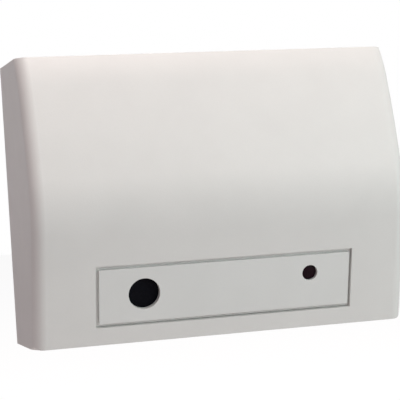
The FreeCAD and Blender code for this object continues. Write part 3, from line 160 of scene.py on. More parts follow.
class Shader:
    """The node tree of a material or of the surroundings, written as Python expressions."""

    def __init__(self, owner: bpy.types.Material | bpy.types.World) -> None:
        """Start with an empty tree.

        Args:
            owner: The material or the surroundings.
        """
        owner.use_nodes = True
        self.kind = owner.bl_rna.identifier
        self.tree = owner.node_tree
        self.tree.nodes.clear()

    @staticmethod
    def is_number(value: Operand) -> bool:
        """Tell a single number from a vector or a colour."""
        number = isinstance(value, (int, float))
        return number or isinstance(value, Signal) and value.socket.type == "VALUE"

    def node(self, kind: str, settings: Mapping[str, Any] | None = None,
             sockets: Mapping[int | str, Operand] | None = None,
             output: int | str = 0) -> Signal:
        """Add one node.

        Args:
            kind: The node's type.
            settings: Properties that are set first.
            sockets: Numbers or links for its inputs, by place or name.
            output: Which output to give back.

        Returns:
            The chosen output.
        """
        made = self.tree.nodes.new(kind)
        for name, setting in (settings or {}).items():
            setattr(made, name, setting)
        for name, value in (sockets or {}).items():
            self._feed(made.inputs[name], value)
        return Signal(self, made.outputs[output])

    def _feed(self, socket: bpy.types.NodeSocket, value: Operand) -> None:
        """Link a signal to a socket, or write a plain value into it.

        Args:
            socket: The socket.
            value: The signal or the value.
        """
        if isinstance(value, Signal):
            self.tree.links.new(value.socket, socket)
        elif socket.type in ("RGBA", "VECTOR"):
            filled = (value,) * 3 if self.is_number(value) else tuple(value)
            socket.default_value = (*filled, 1.0) if socket.type == "RGBA" else filled
        else:
            socket.default_value = value

    def mix(self, factor: Operand, first: Operand, second: Operand) -> Signal:
        """Blend two numbers or two colours.

        Args:
            factor: How much of the second shows.
            first: What shows at nought.
            second: What shows at one.

        Returns:
            The blend.
        """
        if self.is_number(first) and self.is_number(second):
            return self.node("ShaderNodeMix", {"data_type": "FLOAT"},
                             {0: factor, 2: first, 3: second}, 0)
        return self.node("ShaderNodeMix", {"data_type": "RGBA"},
                         {0: factor, 6: first, 7: second}, 2)

    @cached_property
    def where(self) -> Signal:
        """Give the point on the piece, in millimetres."""
        return self.node("ShaderNodeTexCoord", output="Object") * (1 / MM)

    def noise(self, size: float, detail: float, rough: float,
              squeeze: Corner | None = None) -> Signal:
        """Give cloudy noise.

        Args:
            size: How far apart its lumps are, in millimetres.
            detail: How many finer layers it has.
            rough: How strong the finer layers are.
            squeeze: How much closer together they are along each axis.

        Returns:
            The noise, about nought to one.
        """
        where = self.where * squeeze if squeeze else self.where
        return self.node("ShaderNodeTexNoise", {"noise_dimensions": "3D"},
                         {"Vector": where, "Scale": 1 / size, "Detail": detail,
                          "Roughness": rough}, "Fac")

    def cells(self, size: float) -> Signal:
        """Give the distance to the nearest of points that are scattered about a size apart."""
        return self.node("ShaderNodeTexVoronoi", {"feature": "F1"},
                         {"Vector": self.where, "Scale": 1 / size}, "Distance")

    def bump(self, height: Signal, depth: float, under: Signal | None = None) -> Signal:
        """Turn heights into a dented normal.

        Args:
            height: The heights, nought to one.
            depth: How deep one is, in millimetres.
            under: A normal that is already dented.

        Returns:
            The normal.
        """
        dented = {"Normal": under} if under else {}
        return self.node("ShaderNodeBump", sockets={
            "Height": height, "Distance": depth * MM, "Strength": 1.0, **dented}, output="Normal")

    def edges(self, width: float, sharpness: float = 3.0) -> Signal:
        """Find the outer and inner edges of a piece.

        Args:
            width: How far from an edge it reaches, in millimetres.
            sharpness: How quickly it reaches one.

        Returns:
            One on the edges and nought on the flats.
        """
        eased = self.node("ShaderNodeBevel", {"samples": 6}, {"Radius": width * MM}, "Normal")
        plain = self.node("ShaderNodeNewGeometry", output="Normal")
        match = self.node("ShaderNodeVectorMath", {"operation": "DOT_PRODUCT"},
                          {0: eased, 1: plain}, "Value")
        return ((1.0 - match) * sharpness).least(1.0)

    def surface(self, **sockets: Operand) -> None:
        """Close the tree with the main shader.

        Args:
            **sockets: The shader's inputs, with underscores for the spaces in their names.
        """
        named = {name.replace("_", " ").title().replace("Ior", "IOR"): value
                 for name, value in sockets.items()}
        self.close(self.node("ShaderNodeBsdfPrincipled", sockets=named, output="BSDF"))

    def close(self, shaded: Signal) -> None:
        """Send a shader to the output."""
        made = self.tree.nodes.new(f"ShaderNodeOutput{self.kind}")
        self.tree.links.new(shaded.socket, made.inputs["Surface"])


# Finishes


@dataclass(frozen=True)
class Finish:
    """What every finish has: a name, a colour and a way to become a material."""

    name: str
    colour: Colour

    def material(self) -> bpy.types.Material:
        """Give the finish's material, and make it the first time.

        Returns:
            The material.
        """
        name = f"{self.name}_finish"
        if name not in bpy.data.materials:
            self.paint(Shader(bpy.data.materials.new(name)))
        return bpy.data.materials[name]

    def paint(self, shader: Shader) -> None:
        """Write the material's nodes."""
        raise NotImplementedError

    def shade(self, share: float, lift: float = 0.0) -> Colour:
        """Give the colour lighter or darker."""
        return tuple(min(1.0, part * share + lift) for part in self.colour)


@dataclass(frozen=True)
class Moulding(Finish):
    """Moulded plastic: fine eroded grain, slow waves, cloudy tint and rubbed edges."""

    roughness: float
    grain: float = 0.32
    grain_depth: float = 0.010
    wave: float = 14.0
    wave_depth: float = 0.03
    cloud: float = 0.012
    edge: float = 0.35
    rubbed: float = 0.06
    gloss: float = 0.5

    def paint(self, shader: Shader) -> None:
        """Write the material's nodes.

        Args:
            shader: The material's empty tree.
        """
        edge = shader.edges(self.edge)
        slow = shader.noise(self.wave, 3.0, 0.55)
        pores = shader.noise(self.grain, 2.0, 0.6)
        pits = shader.cells(self.grain * 1.7).between(0.0, 0.55)
        specks = shader.noise(1.1, 4.0, 0.7).between(0.66, 0.74)
        colour = shader.mix(slow.between(0.3, 0.7), self.shade(1.0 - self.cloud),
                            self.shade(1.0 + self.cloud))
        for shown, share in ((pits * -0.3 + 0.3, 0.96), (specks * 0.05, 0.86),
                             (edge * self.rubbed, 1.18)):
            colour = shader.mix(shown, colour, self.shade(share))
        rough = shader.noise(5.0, 4.0, 0.6).between(0.25, 0.75, -0.03, 0.03)
        rough = rough + pores.between(0.3, 0.7, -0.04, 0.04) + self.roughness - edge * 0.08
        grain = shader.bump(pores * 0.6 + pits * 0.4, self.grain_depth,
                            shader.bump(slow, self.wave_depth))
        shader.surface(base_color=colour, roughness=rough, normal=grain,
                       specular_ior_level=self.gloss)


@dataclass(frozen=True)
class Metal(Finish):
    """Plated or bare metal with drawn lines, cloudy gloss and fine scratches."""

    roughness: float
    drawn: Corner
    lines: float = 0.004
    edge: float = 0.12

    def paint(self, shader: Shader) -> None:
        """Write the material's nodes.

        Args:
            shader: The material's empty tree.
        """
        streak = shader.noise(1.2, 5.0, 0.65, self.drawn)
        cloud = shader.noise(3.0, 3.0, 0.6)
        edge = shader.edges(self.edge)
        colour = shader.mix(cloud.between(0.3, 0.7), self.shade(0.82), self.colour)
        shown = (streak.between(0.4, 0.75) * 0.4).most(edge * 0.6)
        colour = shader.mix(shown, colour, self.shade(1.12))
        rough = cloud.between(0.2, 0.8, -0.06, 0.1) + streak.between(0.2, 0.8, -0.05, 0.05)
        normal = shader.bump(streak * 0.7 + cloud * 0.3, self.lines)
        shader.surface(base_color=colour, roughness=rough + self.roughness, normal=normal,
                       metallic=1.0)


@dataclass(frozen=True)
class Felt(Finish):
    """Pressed black fibres."""

    pile: float = 0.12
    gloss: float = 0.08

    def paint(self, shader: Shader) -> None:
        """Write the material's nodes.

        Args:
            shader: The material's empty tree.
        """
        fibres = shader.noise(0.25, 8.0, 0.8)
        tufts = shader.noise(0.9, 3.0, 0.6)
        colour = shader.mix(fibres.between(0.45, 0.8), self.colour, self.shade(3.2))
        normal = shader.bump(fibres * 0.7 + tufts * 0.5, self.pile)
        shader.surface(base_color=colour, roughness=tufts.between(0.2, 0.8, 0.86, 0.98),
                       normal=normal, specular_ior_level=self.gloss)


@dataclass(frozen=True)
class TintedResin(Finish):
    """Dark tinted clear plastic or epoxy."""

    clear: float
    roughness: float
    gloss: float = 0.5
    bending: float = 1.52
    ripple: float = 0.006

    def paint(self, shader: Shader) -> None:
        """Write the material's nodes.

        Args:
            shader: The material's empty tree.
        """
        haze = shader.noise(0.8, 4.0, 0.6)
        colour = shader.mix(haze.between(0.3, 0.7), self.shade(0.6), self.colour)
        rough = haze.between(0.2, 0.8, -0.05, 0.08) + self.roughness
        normal = shader.bump(shader.noise(0.5, 3.0, 0.5), self.ripple)
        shader.surface(base_color=colour, roughness=rough, normal=normal,
                       transmission_weight=self.clear, ior=self.bending,
                       specular_ior_level=self.gloss)


@dataclass(frozen=True)
class Rubber(Finish):
    """Soft black rubber with a dusty bloom."""

    skin: float = 0.015
    gloss: float = 0.35

    def paint(self, shader: Shader) -> None:
        """Write the material's nodes.

        Args:
            shader: The material's empty tree.
        """
        bloom = shader.noise(2.5, 4.0, 0.65)
        normal = shader.bump(shader.noise(0.2, 3.0, 0.6), self.skin)
        colour = shader.mix(bloom.between(0.45, 0.8) * 0.6, self.colour, self.shade(3.0, 0.01))
        shader.surface(base_color=colour, roughness=bloom.between(0.2, 0.8, 0.62, 0.85),
                       normal=normal, specular_ior_level=self.gloss)


@dataclass(frozen=True)
class SolderMask(Finish):
    """Green board varnish over copper tracks, with bare glass cloth at the cut edges."""

    copper_under: Colour = (0.03, 0.20, 0.07)
    plated: Colour = (0.55, 0.53, 0.45)
    cloth: Colour = (0.30, 0.28, 0.13)
    cloth_light: Colour = (0.42, 0.40, 0.2)
    track_pitch: float = 1.27
    hole_pitch: float = 7.62
    relief: float = 0.035

    def paint(self, shader: Shader) -> None:
        """Write the material's nodes.

        Args:
            shader: The material's empty tree.
        """
        across, up = shader.where.part("X"), shader.where.part("Z")
        patch = ((across + 6.0) % 31.0 < 13.0) * ((up + 2.0) % 25.0 < 14.0)
        copper = shader.mix(patch, self._tracks(up, across), self._tracks(across, up))
        holes = self._holes(across, up)
        weave = shader.noise(0.4, 3.0, 0.6)
        side = shader.node("ShaderNodeNewGeometry", output="True Normal").part("Y")
        cut = abs(side) < 0.5
        bare = shader.mix(weave.between(0.3, 0.7), self.cloth, self.cloth_light)
        colour: Operand = self.colour
        for shown, over in ((copper, self.copper_under), (holes, self.plated), (cut, bare)):
            colour = shader.mix(shown, colour, over)
        rough = shader.noise(4.0, 3.0, 0.6).between(0.2, 0.8, 0.22, 0.36) + cut * 0.4
        normal = shader.bump(copper * 0.8 + holes * 0.4 + weave * 0.06, self.relief)
        shader.surface(base_color=colour, roughness=rough, normal=normal)

    def _tracks(self, side: Signal, along: Signal) -> Signal:
        """Draw parallel tracks that jog aside by two pitches at half right angles.

        Args:
            side: The place across the tracks.
            along: The place along them.

        Returns:
            One on the tracks.
        """
        pitch = self.track_pitch
        jog = ((along + side * 0.25) % 17.0 - 11.0).most(0.0).least(pitch * 2)
        return abs((side + jog) % pitch - pitch / 2) < pitch * 0.16

    def _holes(self, across: Signal, up: Signal) -> Signal:
        """Scatter plated through holes on a wide grid.

        Args:
            across: The place across the board.
            up: The height on it.

        Returns:
            One on the holes.
        """
        pitch = self.hole_pitch
        first = across % pitch - pitch / 2
        second = (up + across * 0.31) % (pitch * 0.83) - pitch * 0.41
        return first * first + second * second < 0.12


@dataclass(frozen=True)
class Sleeve(Finish):
    """Shrunk plastic film over a steel can."""

    pulled: Corner = (0.15, 1.0, 1.0)
    wrinkles: float = 0.05
    coat: float = 0.3

    def paint(self, shader: Shader) -> None:
        """Write the material's nodes.

        Args:
            shader: The material's empty tree.
        """
        normal = shader.bump(shader.noise(1.6, 3.0, 0.5, self.pulled), self.wrinkles)
        cloud = shader.noise(6.0, 3.0, 0.6)
        colour = shader.mix(cloud.between(0.3, 0.7), self.colour, self.shade(1.35, 0.01))
        shader.surface(base_color=colour, roughness=cloud.between(0.2, 0.8, 0.2, 0.34),
                       normal=normal, coat_weight=self.coat)


@dataclass(frozen=True)
class Ceramic(Finish):
    """Fired ceramic of the small chip parts, dark on some and light on others."""

    worn: Colour = (0.55, 0.5, 0.42)
    grain: float = 0.15
    grain_depth: float = 0.01
    apart: float = 4.6

    def paint(self, shader: Shader) -> None:
        """Write the material's nodes.

        Args:
            shader: The material's empty tree.
        """
        grain = shader.noise(self.grain, 3.0, 0.7)
        kinds = shader.cells(self.apart).between(0.30, 0.42)
        colour = shader.mix(kinds, self.shade(0.12), self.colour)
        colour = shader.mix(grain.between(0.55, 0.8) * 0.4, colour, self.worn)
        shader.surface(base_color=colour, roughness=grain.between(0.2, 0.8, 0.25, 0.5),
                       normal=shader.bump(grain, self.grain_depth))


class Plastic(Enum):
    """The mouldings' finishes."""

    COVER = Moulding("cover_plastic", (0.765, 0.752, 0.732), 0.50)
    PANEL = Moulding("panel_plastic", (0.755, 0.752, 0.735), 0.50)
    BASE = Moulding("base_plastic", (0.700, 0.688, 0.662), 0.50, grain=0.5, grain_depth=0.02)
    WHITE = Moulding("white_plastic", (0.76, 0.76, 0.74), 0.38)
    BLACK = Moulding("black_plastic", (0.022, 0.022, 0.024), 0.45, rubbed=0.3)
    RED = Moulding("red_plastic", (0.40, 0.02, 0.015), 0.35, rubbed=0.3)


class Trim(Enum):
    """The other finishes."""

    FELT = Felt("black_felt", (0.004, 0.004, 0.006))
    LENS = TintedResin("dark_lens", (0.012, 0.001, 0.005), clear=0.0, roughness=0.35, gloss=0.1)
    LAMP = TintedResin("lamp_epoxy", (0.62, 0.02, 0.02), clear=0.75, roughness=0.08)
    BOARD = SolderMask("green_board", (0.012, 0.12, 0.045))
    SLEEVE = Sleeve("battery_sleeve", (0.03, 0.09, 0.33))
    SPRING = Metal("contact_strip", (0.66, 0.63, 0.57), 0.25, drawn=(1.0, 1.0, 8.0))
    ZINC = Metal("zinc_steel", (0.60, 0.61, 0.64), 0.30, drawn=(1.0, 1.0, 1.0))
    TINNED = Metal("tinned_sheet", (0.68, 0.69, 0.70), 0.32, drawn=(8.0, 1.0, 1.0))
    CAN = Metal("capsule_can", (0.72, 0.72, 0.74), 0.22, drawn=(1.0, 8.0, 1.0))
    RUBBER = Rubber("black_rubber", (0.018, 0.018, 0.019))
    CERAMIC = Ceramic("ceramic_parts", (0.30, 0.24, 0.18))


# Shape making

# How far apart corners may be and still count as one: on new shapes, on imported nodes, on a
# turning axis, before edges are rounded and after a cut. Then the angles up to which a face
# is flat and an edge is smooth.
SAME_POINT = 1e-5
SAME_NODE_POINT = 1e-3
ON_AXIS = 1e-6
SLIVER = 0.003
SPECK = SLIVER / 10
FLAT = math.radians(1.0)
CREASE = math.radians(50.0)


@contextmanager
def opened(mesh: bpy.types.Mesh) -> Iterator[bmesh.types.BMesh]:
    """Open a mesh for work on its corners and faces, and write it anew at the end.

    Args:
        mesh: The mesh.

    Yields:
        The open mesh.
    """
    shell = bmesh.new()
    shell.from_mesh(mesh)
    yield shell
    shell.to_mesh(mesh)
    shell.free()


def hang(name: str, data: bpy.types.ID) -> Thing:
    """Put a mesh, a lamp or a camera into the scene.

    Args:
        name: The name of what is put in.
        data: The mesh, the lamp or the camera.

    Returns:
        What was put in.
    """
    thing = bpy.data.objects.new(name, data)
    bpy.context.scene.collection.objects.link(thing)
    return thing


class Solid:
    """A closed mesh under construction, in millimetres."""

    def __init__(self, corners: Sequence[Sequence[float]], faces: Sequence[Sequence[int]]) -> None:
        """Make a closed mesh with its normals outwards.

        Args:
            corners: Its corners.
            faces: Its faces, each a list of places in the list of corners.
        """
        mesh = bpy.data.meshes.new("shape")
        mesh.from_pydata(corners, [], faces)
        with opened(mesh) as shell:
            bmesh.ops.remove_doubles(shell, verts=shell.verts, dist=SAME_POINT)
            bmesh.ops.recalc_face_normals(shell, faces=shell.faces)
        self.thing = hang("shape", mesh)

    @classmethod
    def of_node(cls, node: Thing) -> "Solid":
        """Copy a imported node, with its flat faces whole again.

        Args:
            node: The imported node, which stays as it is.

        Returns:
            The solid.
        """
        shell = bmesh.new()
        shell.from_mesh(node.data)
        bmesh.ops.scale(shell, vec=(1 / MM,) * 3, verts=shell.verts)
        bmesh.ops.remove_doubles(shell, verts=shell.verts, dist=SAME_NODE_POINT)
        bmesh.ops.dissolve_limit(shell, angle_limit=FLAT, verts=shell.verts, edges=shell.edges)
        corners = [tuple(vertex.co) for vertex in shell.verts]
        faces = [[vertex.index for vertex in face.verts] for face in shell.faces]
        shell.free()
        return cls(corners, faces)

    @classmethod
    def stacked(cls, loops: Sequence[Sequence[Sequence[float]]]) -> "Solid":
        """Skin a row of loops that have as many corners, and close both ends.

        Args:
            loops: The loops, each a list of corners.

        Returns:
            The solid.
        """
        count = len(loops[0])
        corners = [corner for loop in loops for corner in loop]
        last = len(corners) - count
        faces: list[list[int]] = []
        for start in range(0, last, count):
            for index in range(count):
                after = (index + 1) % count
                faces.append([start + index, start + after, start + count + after,
                              start + count + index])
        faces += [list(range(count)), list(range(last, len(corners)))]
        return cls(corners, faces)

    @classmethod
    def prism(cls, outline: Sequence[Point], put: Placing, start: float, end: float) -> "Solid":
        """Draw an outline through space, with a placing, from a start to an end."""
        return cls.stacked([[put(x, y, depth) for x, y in outline] for depth in (start, end)])

    @classmethod
    def turned(cls, profile: Sequence[Point], put: Placing, steps: int) -> "Solid":
        """Turn a profile once round.

        Args:
            profile: Radius and depth of its corners, from the middle to the middle.
            put: Turns across, up and depth into a point.
            steps: How many steps the turn has.

        Returns:
            The solid.
        """
        corners: list[Corner] = []
        rings: list[range] = []
        for radius, depth in profile:
            count = 1 if radius < ON_AXIS else steps
            rings.append(range(len(corners), len(corners) + count))
            for step in range(count):
                angle = 2 * math.pi * step / steps
                corners.append(put(radius * math.cos(angle), radius * math.sin(angle), depth))
        faces: list[list[int]] = []
        for lower, upper in zip(rings, rings[1:]):
            if len(lower) == len(upper) == 1:
                continue
            for step in range(steps):
                after = (step + 1) % steps
                face = [lower[step % len(lower)], lower[after % len(lower)],
                        upper[after % len(upper)], upper[step % len(upper)]]
                faces.append(list(dict.fromkeys(face)))
        return cls(corners, faces)

    @classmethod
    def rod(cls, radius: float, put: Placing, start: float, end: float, steps: int) -> "Solid":
        """Give a round rod, which is also what cuts a round hole."""
        return cls.turned([(0.0, start), (radius, start), (radius, end), (0.0, end)], put, steps)

    @classmethod
    def together(cls, solids: Sequence["Solid"]) -> "Solid":
        """Take separate solids into one.

        Args:
            solids: The solids, which are used up.

        Returns:
            The one solid.
        """
        first, *others = solids
        with opened(first.thing.data) as shell:
            for other in others:
                shell.from_mesh(other.thing.data)
                bpy.data.objects.remove(other.thing)
        return first

    def _modify(self, kind: str, **settings: Any) -> "Solid":
        """Make what a modifier gives the mesh itself.

        Args:
            kind: The modifier's type.
            **settings: Its properties.

        Returns:
            This solid.
        """
        modifier = self.thing.modifiers.new(kind, kind)
        for name, setting in settings.items():
            setattr(modifier, name, setting)
        graph = bpy.context.evaluated_depsgraph_get()
        made = bpy.data.meshes.new_from_object(self.thing.evaluated_get(graph))
        self.thing.modifiers.clear()
        old, self.thing.data = self.thing.data, made
        bpy.data.meshes.remove(old)
        return self

    def _clean(self, distance: float) -> "Solid":
        """Merge corners that lie closer together than a distance.

        Args:
            distance: The distance.

        Returns:
            This solid.
        """
        with opened(self.thing.data) as shell:
            bmesh.ops.remove_doubles(shell, verts=shell.verts, dist=distance)
            bmesh.ops.dissolve_degenerate(shell, edges=shell.edges, dist=distance)
        return self

    def _combine(self, other: "Solid", operation: str) -> "Solid":
        """Join, cut or trim with another solid.

        Args:
            other: The other solid, which is used up.
            operation: The kind of join.

        Returns:
            This solid.
        """
        self._modify("BOOLEAN", operation=operation, solver="EXACT", object=other.thing)
        bpy.data.objects.remove(other.thing)
        return self._clean(SPECK)

    def __add__(self, other: "Solid") -> "Solid":
        """Join another solid on."""
        return self._combine(other, "UNION")

    def __sub__(self, other: "Solid") -> "Solid":
        """Cut another solid out."""
        return self._combine(other, "DIFFERENCE")

    def __and__(self, other: "Solid") -> "Solid":
        """Keep only what lies inside another solid."""
        return self._combine(other, "INTERSECT")

    def ease(self, width: float, steps: int = 2, limit: float = 30.0) -> "Solid":
        """Round every edge that is sharper than a limit.

        Args:
            width: How far the round reaches from the edge.
            steps: How many faces it has.
            limit: The angle in degrees above which an edge is rounded.

        Returns:
            This solid.
        """
        self._clean(SLIVER)
        self._modify("BEVEL", width=width, segments=steps, limit_method="ANGLE",
                     angle_limit=math.radians(limit), miter_outer="MITER_ARC")
        return self._clean(SPECK)

    def piece(self, name: str, finish: Plastic | Trim, node: str,
              body: str = "base") -> Thing:
        """Finish the solid as a piece of the object.

        Args:
            name: The piece's name.
            finish: Its finish, whose name is also its material slot.
            node: The node that it stands for.
            body: The body that it rides on.

        Returns:
            The piece.
        """
        piece = self.thing
        piece.name = piece.data.name = name
        piece.data.transform(Matrix.Scale(MM, 4))
        piece.data.shade_smooth()
        piece.data.set_sharp_from_angle(angle=CREASE)
        self._modify("WEIGHTED_NORMAL", keep_sharp=True)
        piece.data.materials.clear()
        piece.data.materials.append(finish.value.material())
        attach(piece, body)
        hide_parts(node)
        return piece


def box_outline(left: float, low: float, right: float, high: float) -> list[Point]:
    """Give a rectangle's corners."""
    return [(left, low), (right, low), (right, high), (left, high)]


def arc(middle: Point, reach: Point, count: int, start: float = 0.0,
        end: float = math.pi / 2) -> list[Point]:
    """Give points along part of an oval, each told by its radius and depth."""
    return [(middle[0] + reach[0] * math.cos(turn), middle[1] + reach[1] * math.sin(turn))
            for turn in np.linspace(start, end, count)]


def spread(count: int, pitch: float) -> list[float]:
    """Give places in a row that has its middle at nought."""
    return [(index - (count - 1) / 2) * pitch for index in range(count)]


def straight(x: float, up: float, depth: float) -> Corner:
    """Put a point by its place along the wall, its height and its depth from the wall."""
    return (x, -depth, up)


def around(across: float, up: float) -> Placing:
    """Give the placing of points that are told from a spot on the board."""
    return lambda x, y, depth: (across + x, -depth, up + y)


# The object

BOARD_FACE = 17.6


@dataclass
class CoverMoulding:
    """The curved cover that hooks over the base."""

    width: float = 108.0
    height: float = 78.4
    wall: float = 2.2
    draft: float = math.radians(2.1)
    side_round: float = 3.4
    corner_rounds: tuple[tuple[float, float, float], ...] = (
        (-5.0, 0.1, 0.1), (19.5, 0.3, 0.3), (21.5, 0.6, 0.3), (23.0, 1.2, 0.3), (24.5, 2.2, 0.4),
        (29.0, 2.4, 0.8), (32.5, 2.4, 1.7), (45.0, 2.4, 1.7))
    edge_round: float = 0.32
    bottom_depth: float = 26.1
    lower_rise: float = 29.2
    tilt: float = math.radians(15.7)
    bends: tuple[tuple[float, float, int], ...] = ((16.0, 36.0, 18), (25.0, 164.0, 14),
                                                   (8.2, 35.0, 12))
    beyond: float = 7.0
    opening: tuple[float, float, float, float] = (-36.3, 4.9, 36.7, 22.15)
    sunk: float = 1.6
    ledge: float = 1.5
    rib_wall: float = 2.2
    rib_root: float = 1.7
    rib_depth: float = 1.8
    cut_start: float = -2.0
    cut_end: float = 6.0
    hooks: float = 30.0
    hook_half: float = 5.0
    hook_rise: Point = (-4.0, -1.1)
    hook_depths: Point = (2.8, 4.6)
    post: Point = (33.0, -12.5)
    post_radius: float = 2.4
    post_depths: Point = (25.1, 31.6)
    notch_half: float = 6.0
    notch_rise: Point = (-3.0, 3.2)
    notch_depth: float = 3.0

    def face(self, across: float, up: float, inward: float) -> Corner:
        """Put a point on or behind the leaning lower face.

        Args:
            across: Its place to the right of the middle.
            up: How far up the face it is from the bottom edge.
            inward: How deep it lies behind the face.

        Returns:
            The point.
        """
        slope, rise = math.sin(self.tilt), math.cos(self.tilt)
        return (across, -(self.bottom_depth + up * slope - inward * rise),
                up * rise + inward * slope - self.height / 2)

    def spot(self, across: float, up: float) -> Placing:
        """Give the placing of points that are told from a spot on the lower face."""
        return lambda x, y, inward: self.face(across + x, up + y, inward)

    def window(self, inset: float) -> list[Point]:
        """Give the opening's outline, drawn in by an inset."""
        left, low, right, high = self.opening
        return box_outline(left + inset, low + inset, right - inset, high - inset)

    def _stations(self) -> list[tuple[float, float, float]]:
        """Follow the front up the middle.

        Returns:
            Depth, height and lean of the normal at each station.
        """
        lean, steep = math.sin(self.tilt), math.tan(self.tilt)
        depth = self.bottom_depth + self.lower_rise * steep
        up = -self.height / 2 + self.lower_rise
        stations = [(self.bottom_depth - steep * self.beyond, -self.height / 2 - self.beyond, lean),
                    (depth, up, lean)]
        nearly_flat = 1e4
        for rise, radius, steps in (*self.bends, (self.beyond, nearly_flat, 1)):
            start, start_lean = depth, lean
            for step in range(1, steps + 1):
                lean = start_lean - rise * step / steps / radius
                depth = start + radius * (math.sqrt(1 - lean ** 2) - math.sqrt(1 - start_lean ** 2))
                stations.append((depth, up + rise * step / steps, lean))
            up += rise
        return stations

    def _outer(self) -> Solid:
        """Skin the outside with its rounded sides.

        Returns:
            The solid, still without its top and bottom.
        """
        steps = 16
        side = Vector((math.cos(self.draft), -math.sin(self.draft), 0.0))
        loops: list[list[Vector]] = []
        for depth, up, lean in self._stations():
            inwards = Vector((0.0, math.sqrt(1 - lean ** 2), lean))
            along = (inwards - side * inwards.dot(side)).normalized()
            corner = Vector((self.width / 2 - depth * math.tan(self.draft), -depth, up))
            right: list[Vector] = []
            for step in range(steps + 1):
                turn = math.pi / 2 * step / steps
                spot = corner + along * self.side_round * (1 - math.cos(turn))
                spot.x -= self.side_round * (1 - math.sin(turn))
                right.append(spot)
            right.append(Vector((self.width / 2, 0.0, right[-1].z)))
            loops.append([Vector((-spot.x, spot.y, spot.z)) for spot in reversed(right)] + right)
        return Solid.stacked(loops)

    def _envelope(self) -> Solid:
        """Give the block that cuts top and bottom off and rounds the front's corners.

        Returns:
            The block.
        """
        steps, clear = 8, 0.02
        loops: list[list[Corner]] = []
        for depth, foot, head in self.corner_rounds:
            side = self.width / 2 - depth * math.tan(self.draft) + clear
            loop: list[Corner] = []
            for quarter, (across, up) in enumerate(((1, 1), (-1, 1), (-1, -1), (1, -1))):
                radius = head if up > 0 else foot
                for step in range(steps + 1):
                    turn = math.pi / 2 * (quarter + step / steps)
                    loop.append((across * (side - radius) + radius * math.cos(turn), -depth,
                                 up * (self.height / 2 - radius) + radius * math.sin(turn)))
            loops.append(loop)
        return Solid.stacked(loops)

    def _inner(self) -> Solid:
        """Skin the hollow, and cut its top and bottom off level.

        Returns:
            The hollow.
        """
        loops: list[list[Corner]] = []
        slope = math.tan(self.draft)
        at_wall = self.width / 2 - self.wall / math.cos(self.draft)
        for depth, up, lean in self._stations():
            deep = depth - self.wall * math.sqrt(1 - lean ** 2)
            high = up + self.wall * lean
            front, back = at_wall - deep * slope, at_wall + slope
            loops.append([(-back, 1.0, high), (-front, -deep, high),
                          (front, -deep, high), (back, 1.0, high)])
        half, wide = self.height / 2 - self.wall, self.width
        slab = Solid.prism(box_outline(-wide, -wide, wide, wide), lambda x, y, z: (x, y, z),
                           -half, half)
        return Solid.stacked(loops) & slab

    def build(self) -> list[Thing]:
        """Build and dress the cover.

        Returns:
            The piece.
        """
        half = self.height / 2
        shell = (self._outer() & self._envelope()) - self._inner()
        rib = self.window(self.ledge - self.rib_wall)
        shell = shell + Solid.prism(rib, self.face, self.rib_root, self.wall + self.rib_depth)
        for inset, depth in ((0.0, self.sunk), (self.ledge, self.cut_end)):
            shell = shell - Solid.prism(self.window(inset), self.face, self.cut_start, depth)
        low, high = self.hook_rise
        for side in (-self.hooks, self.hooks):
            hook = box_outline(side - self.hook_half, half + low, side + self.hook_half,
                               half + high)
            shell = shell + Solid.prism(hook, straight, *self.hook_depths)
        shell = shell + Solid.rod(self.post_radius, around(*self.post), *self.post_depths, 32)
        low, high = self.notch_rise
        notch = box_outline(-self.notch_half, -half + low, self.notch_half, -half + high)
        shell = shell - Solid.prism(notch, straight, -self.wall, self.notch_depth)
        return [shell.ease(self.edge_round, 3).piece("cover_moulding", Plastic.COVER,
                                                     "front_cover", "cover")]


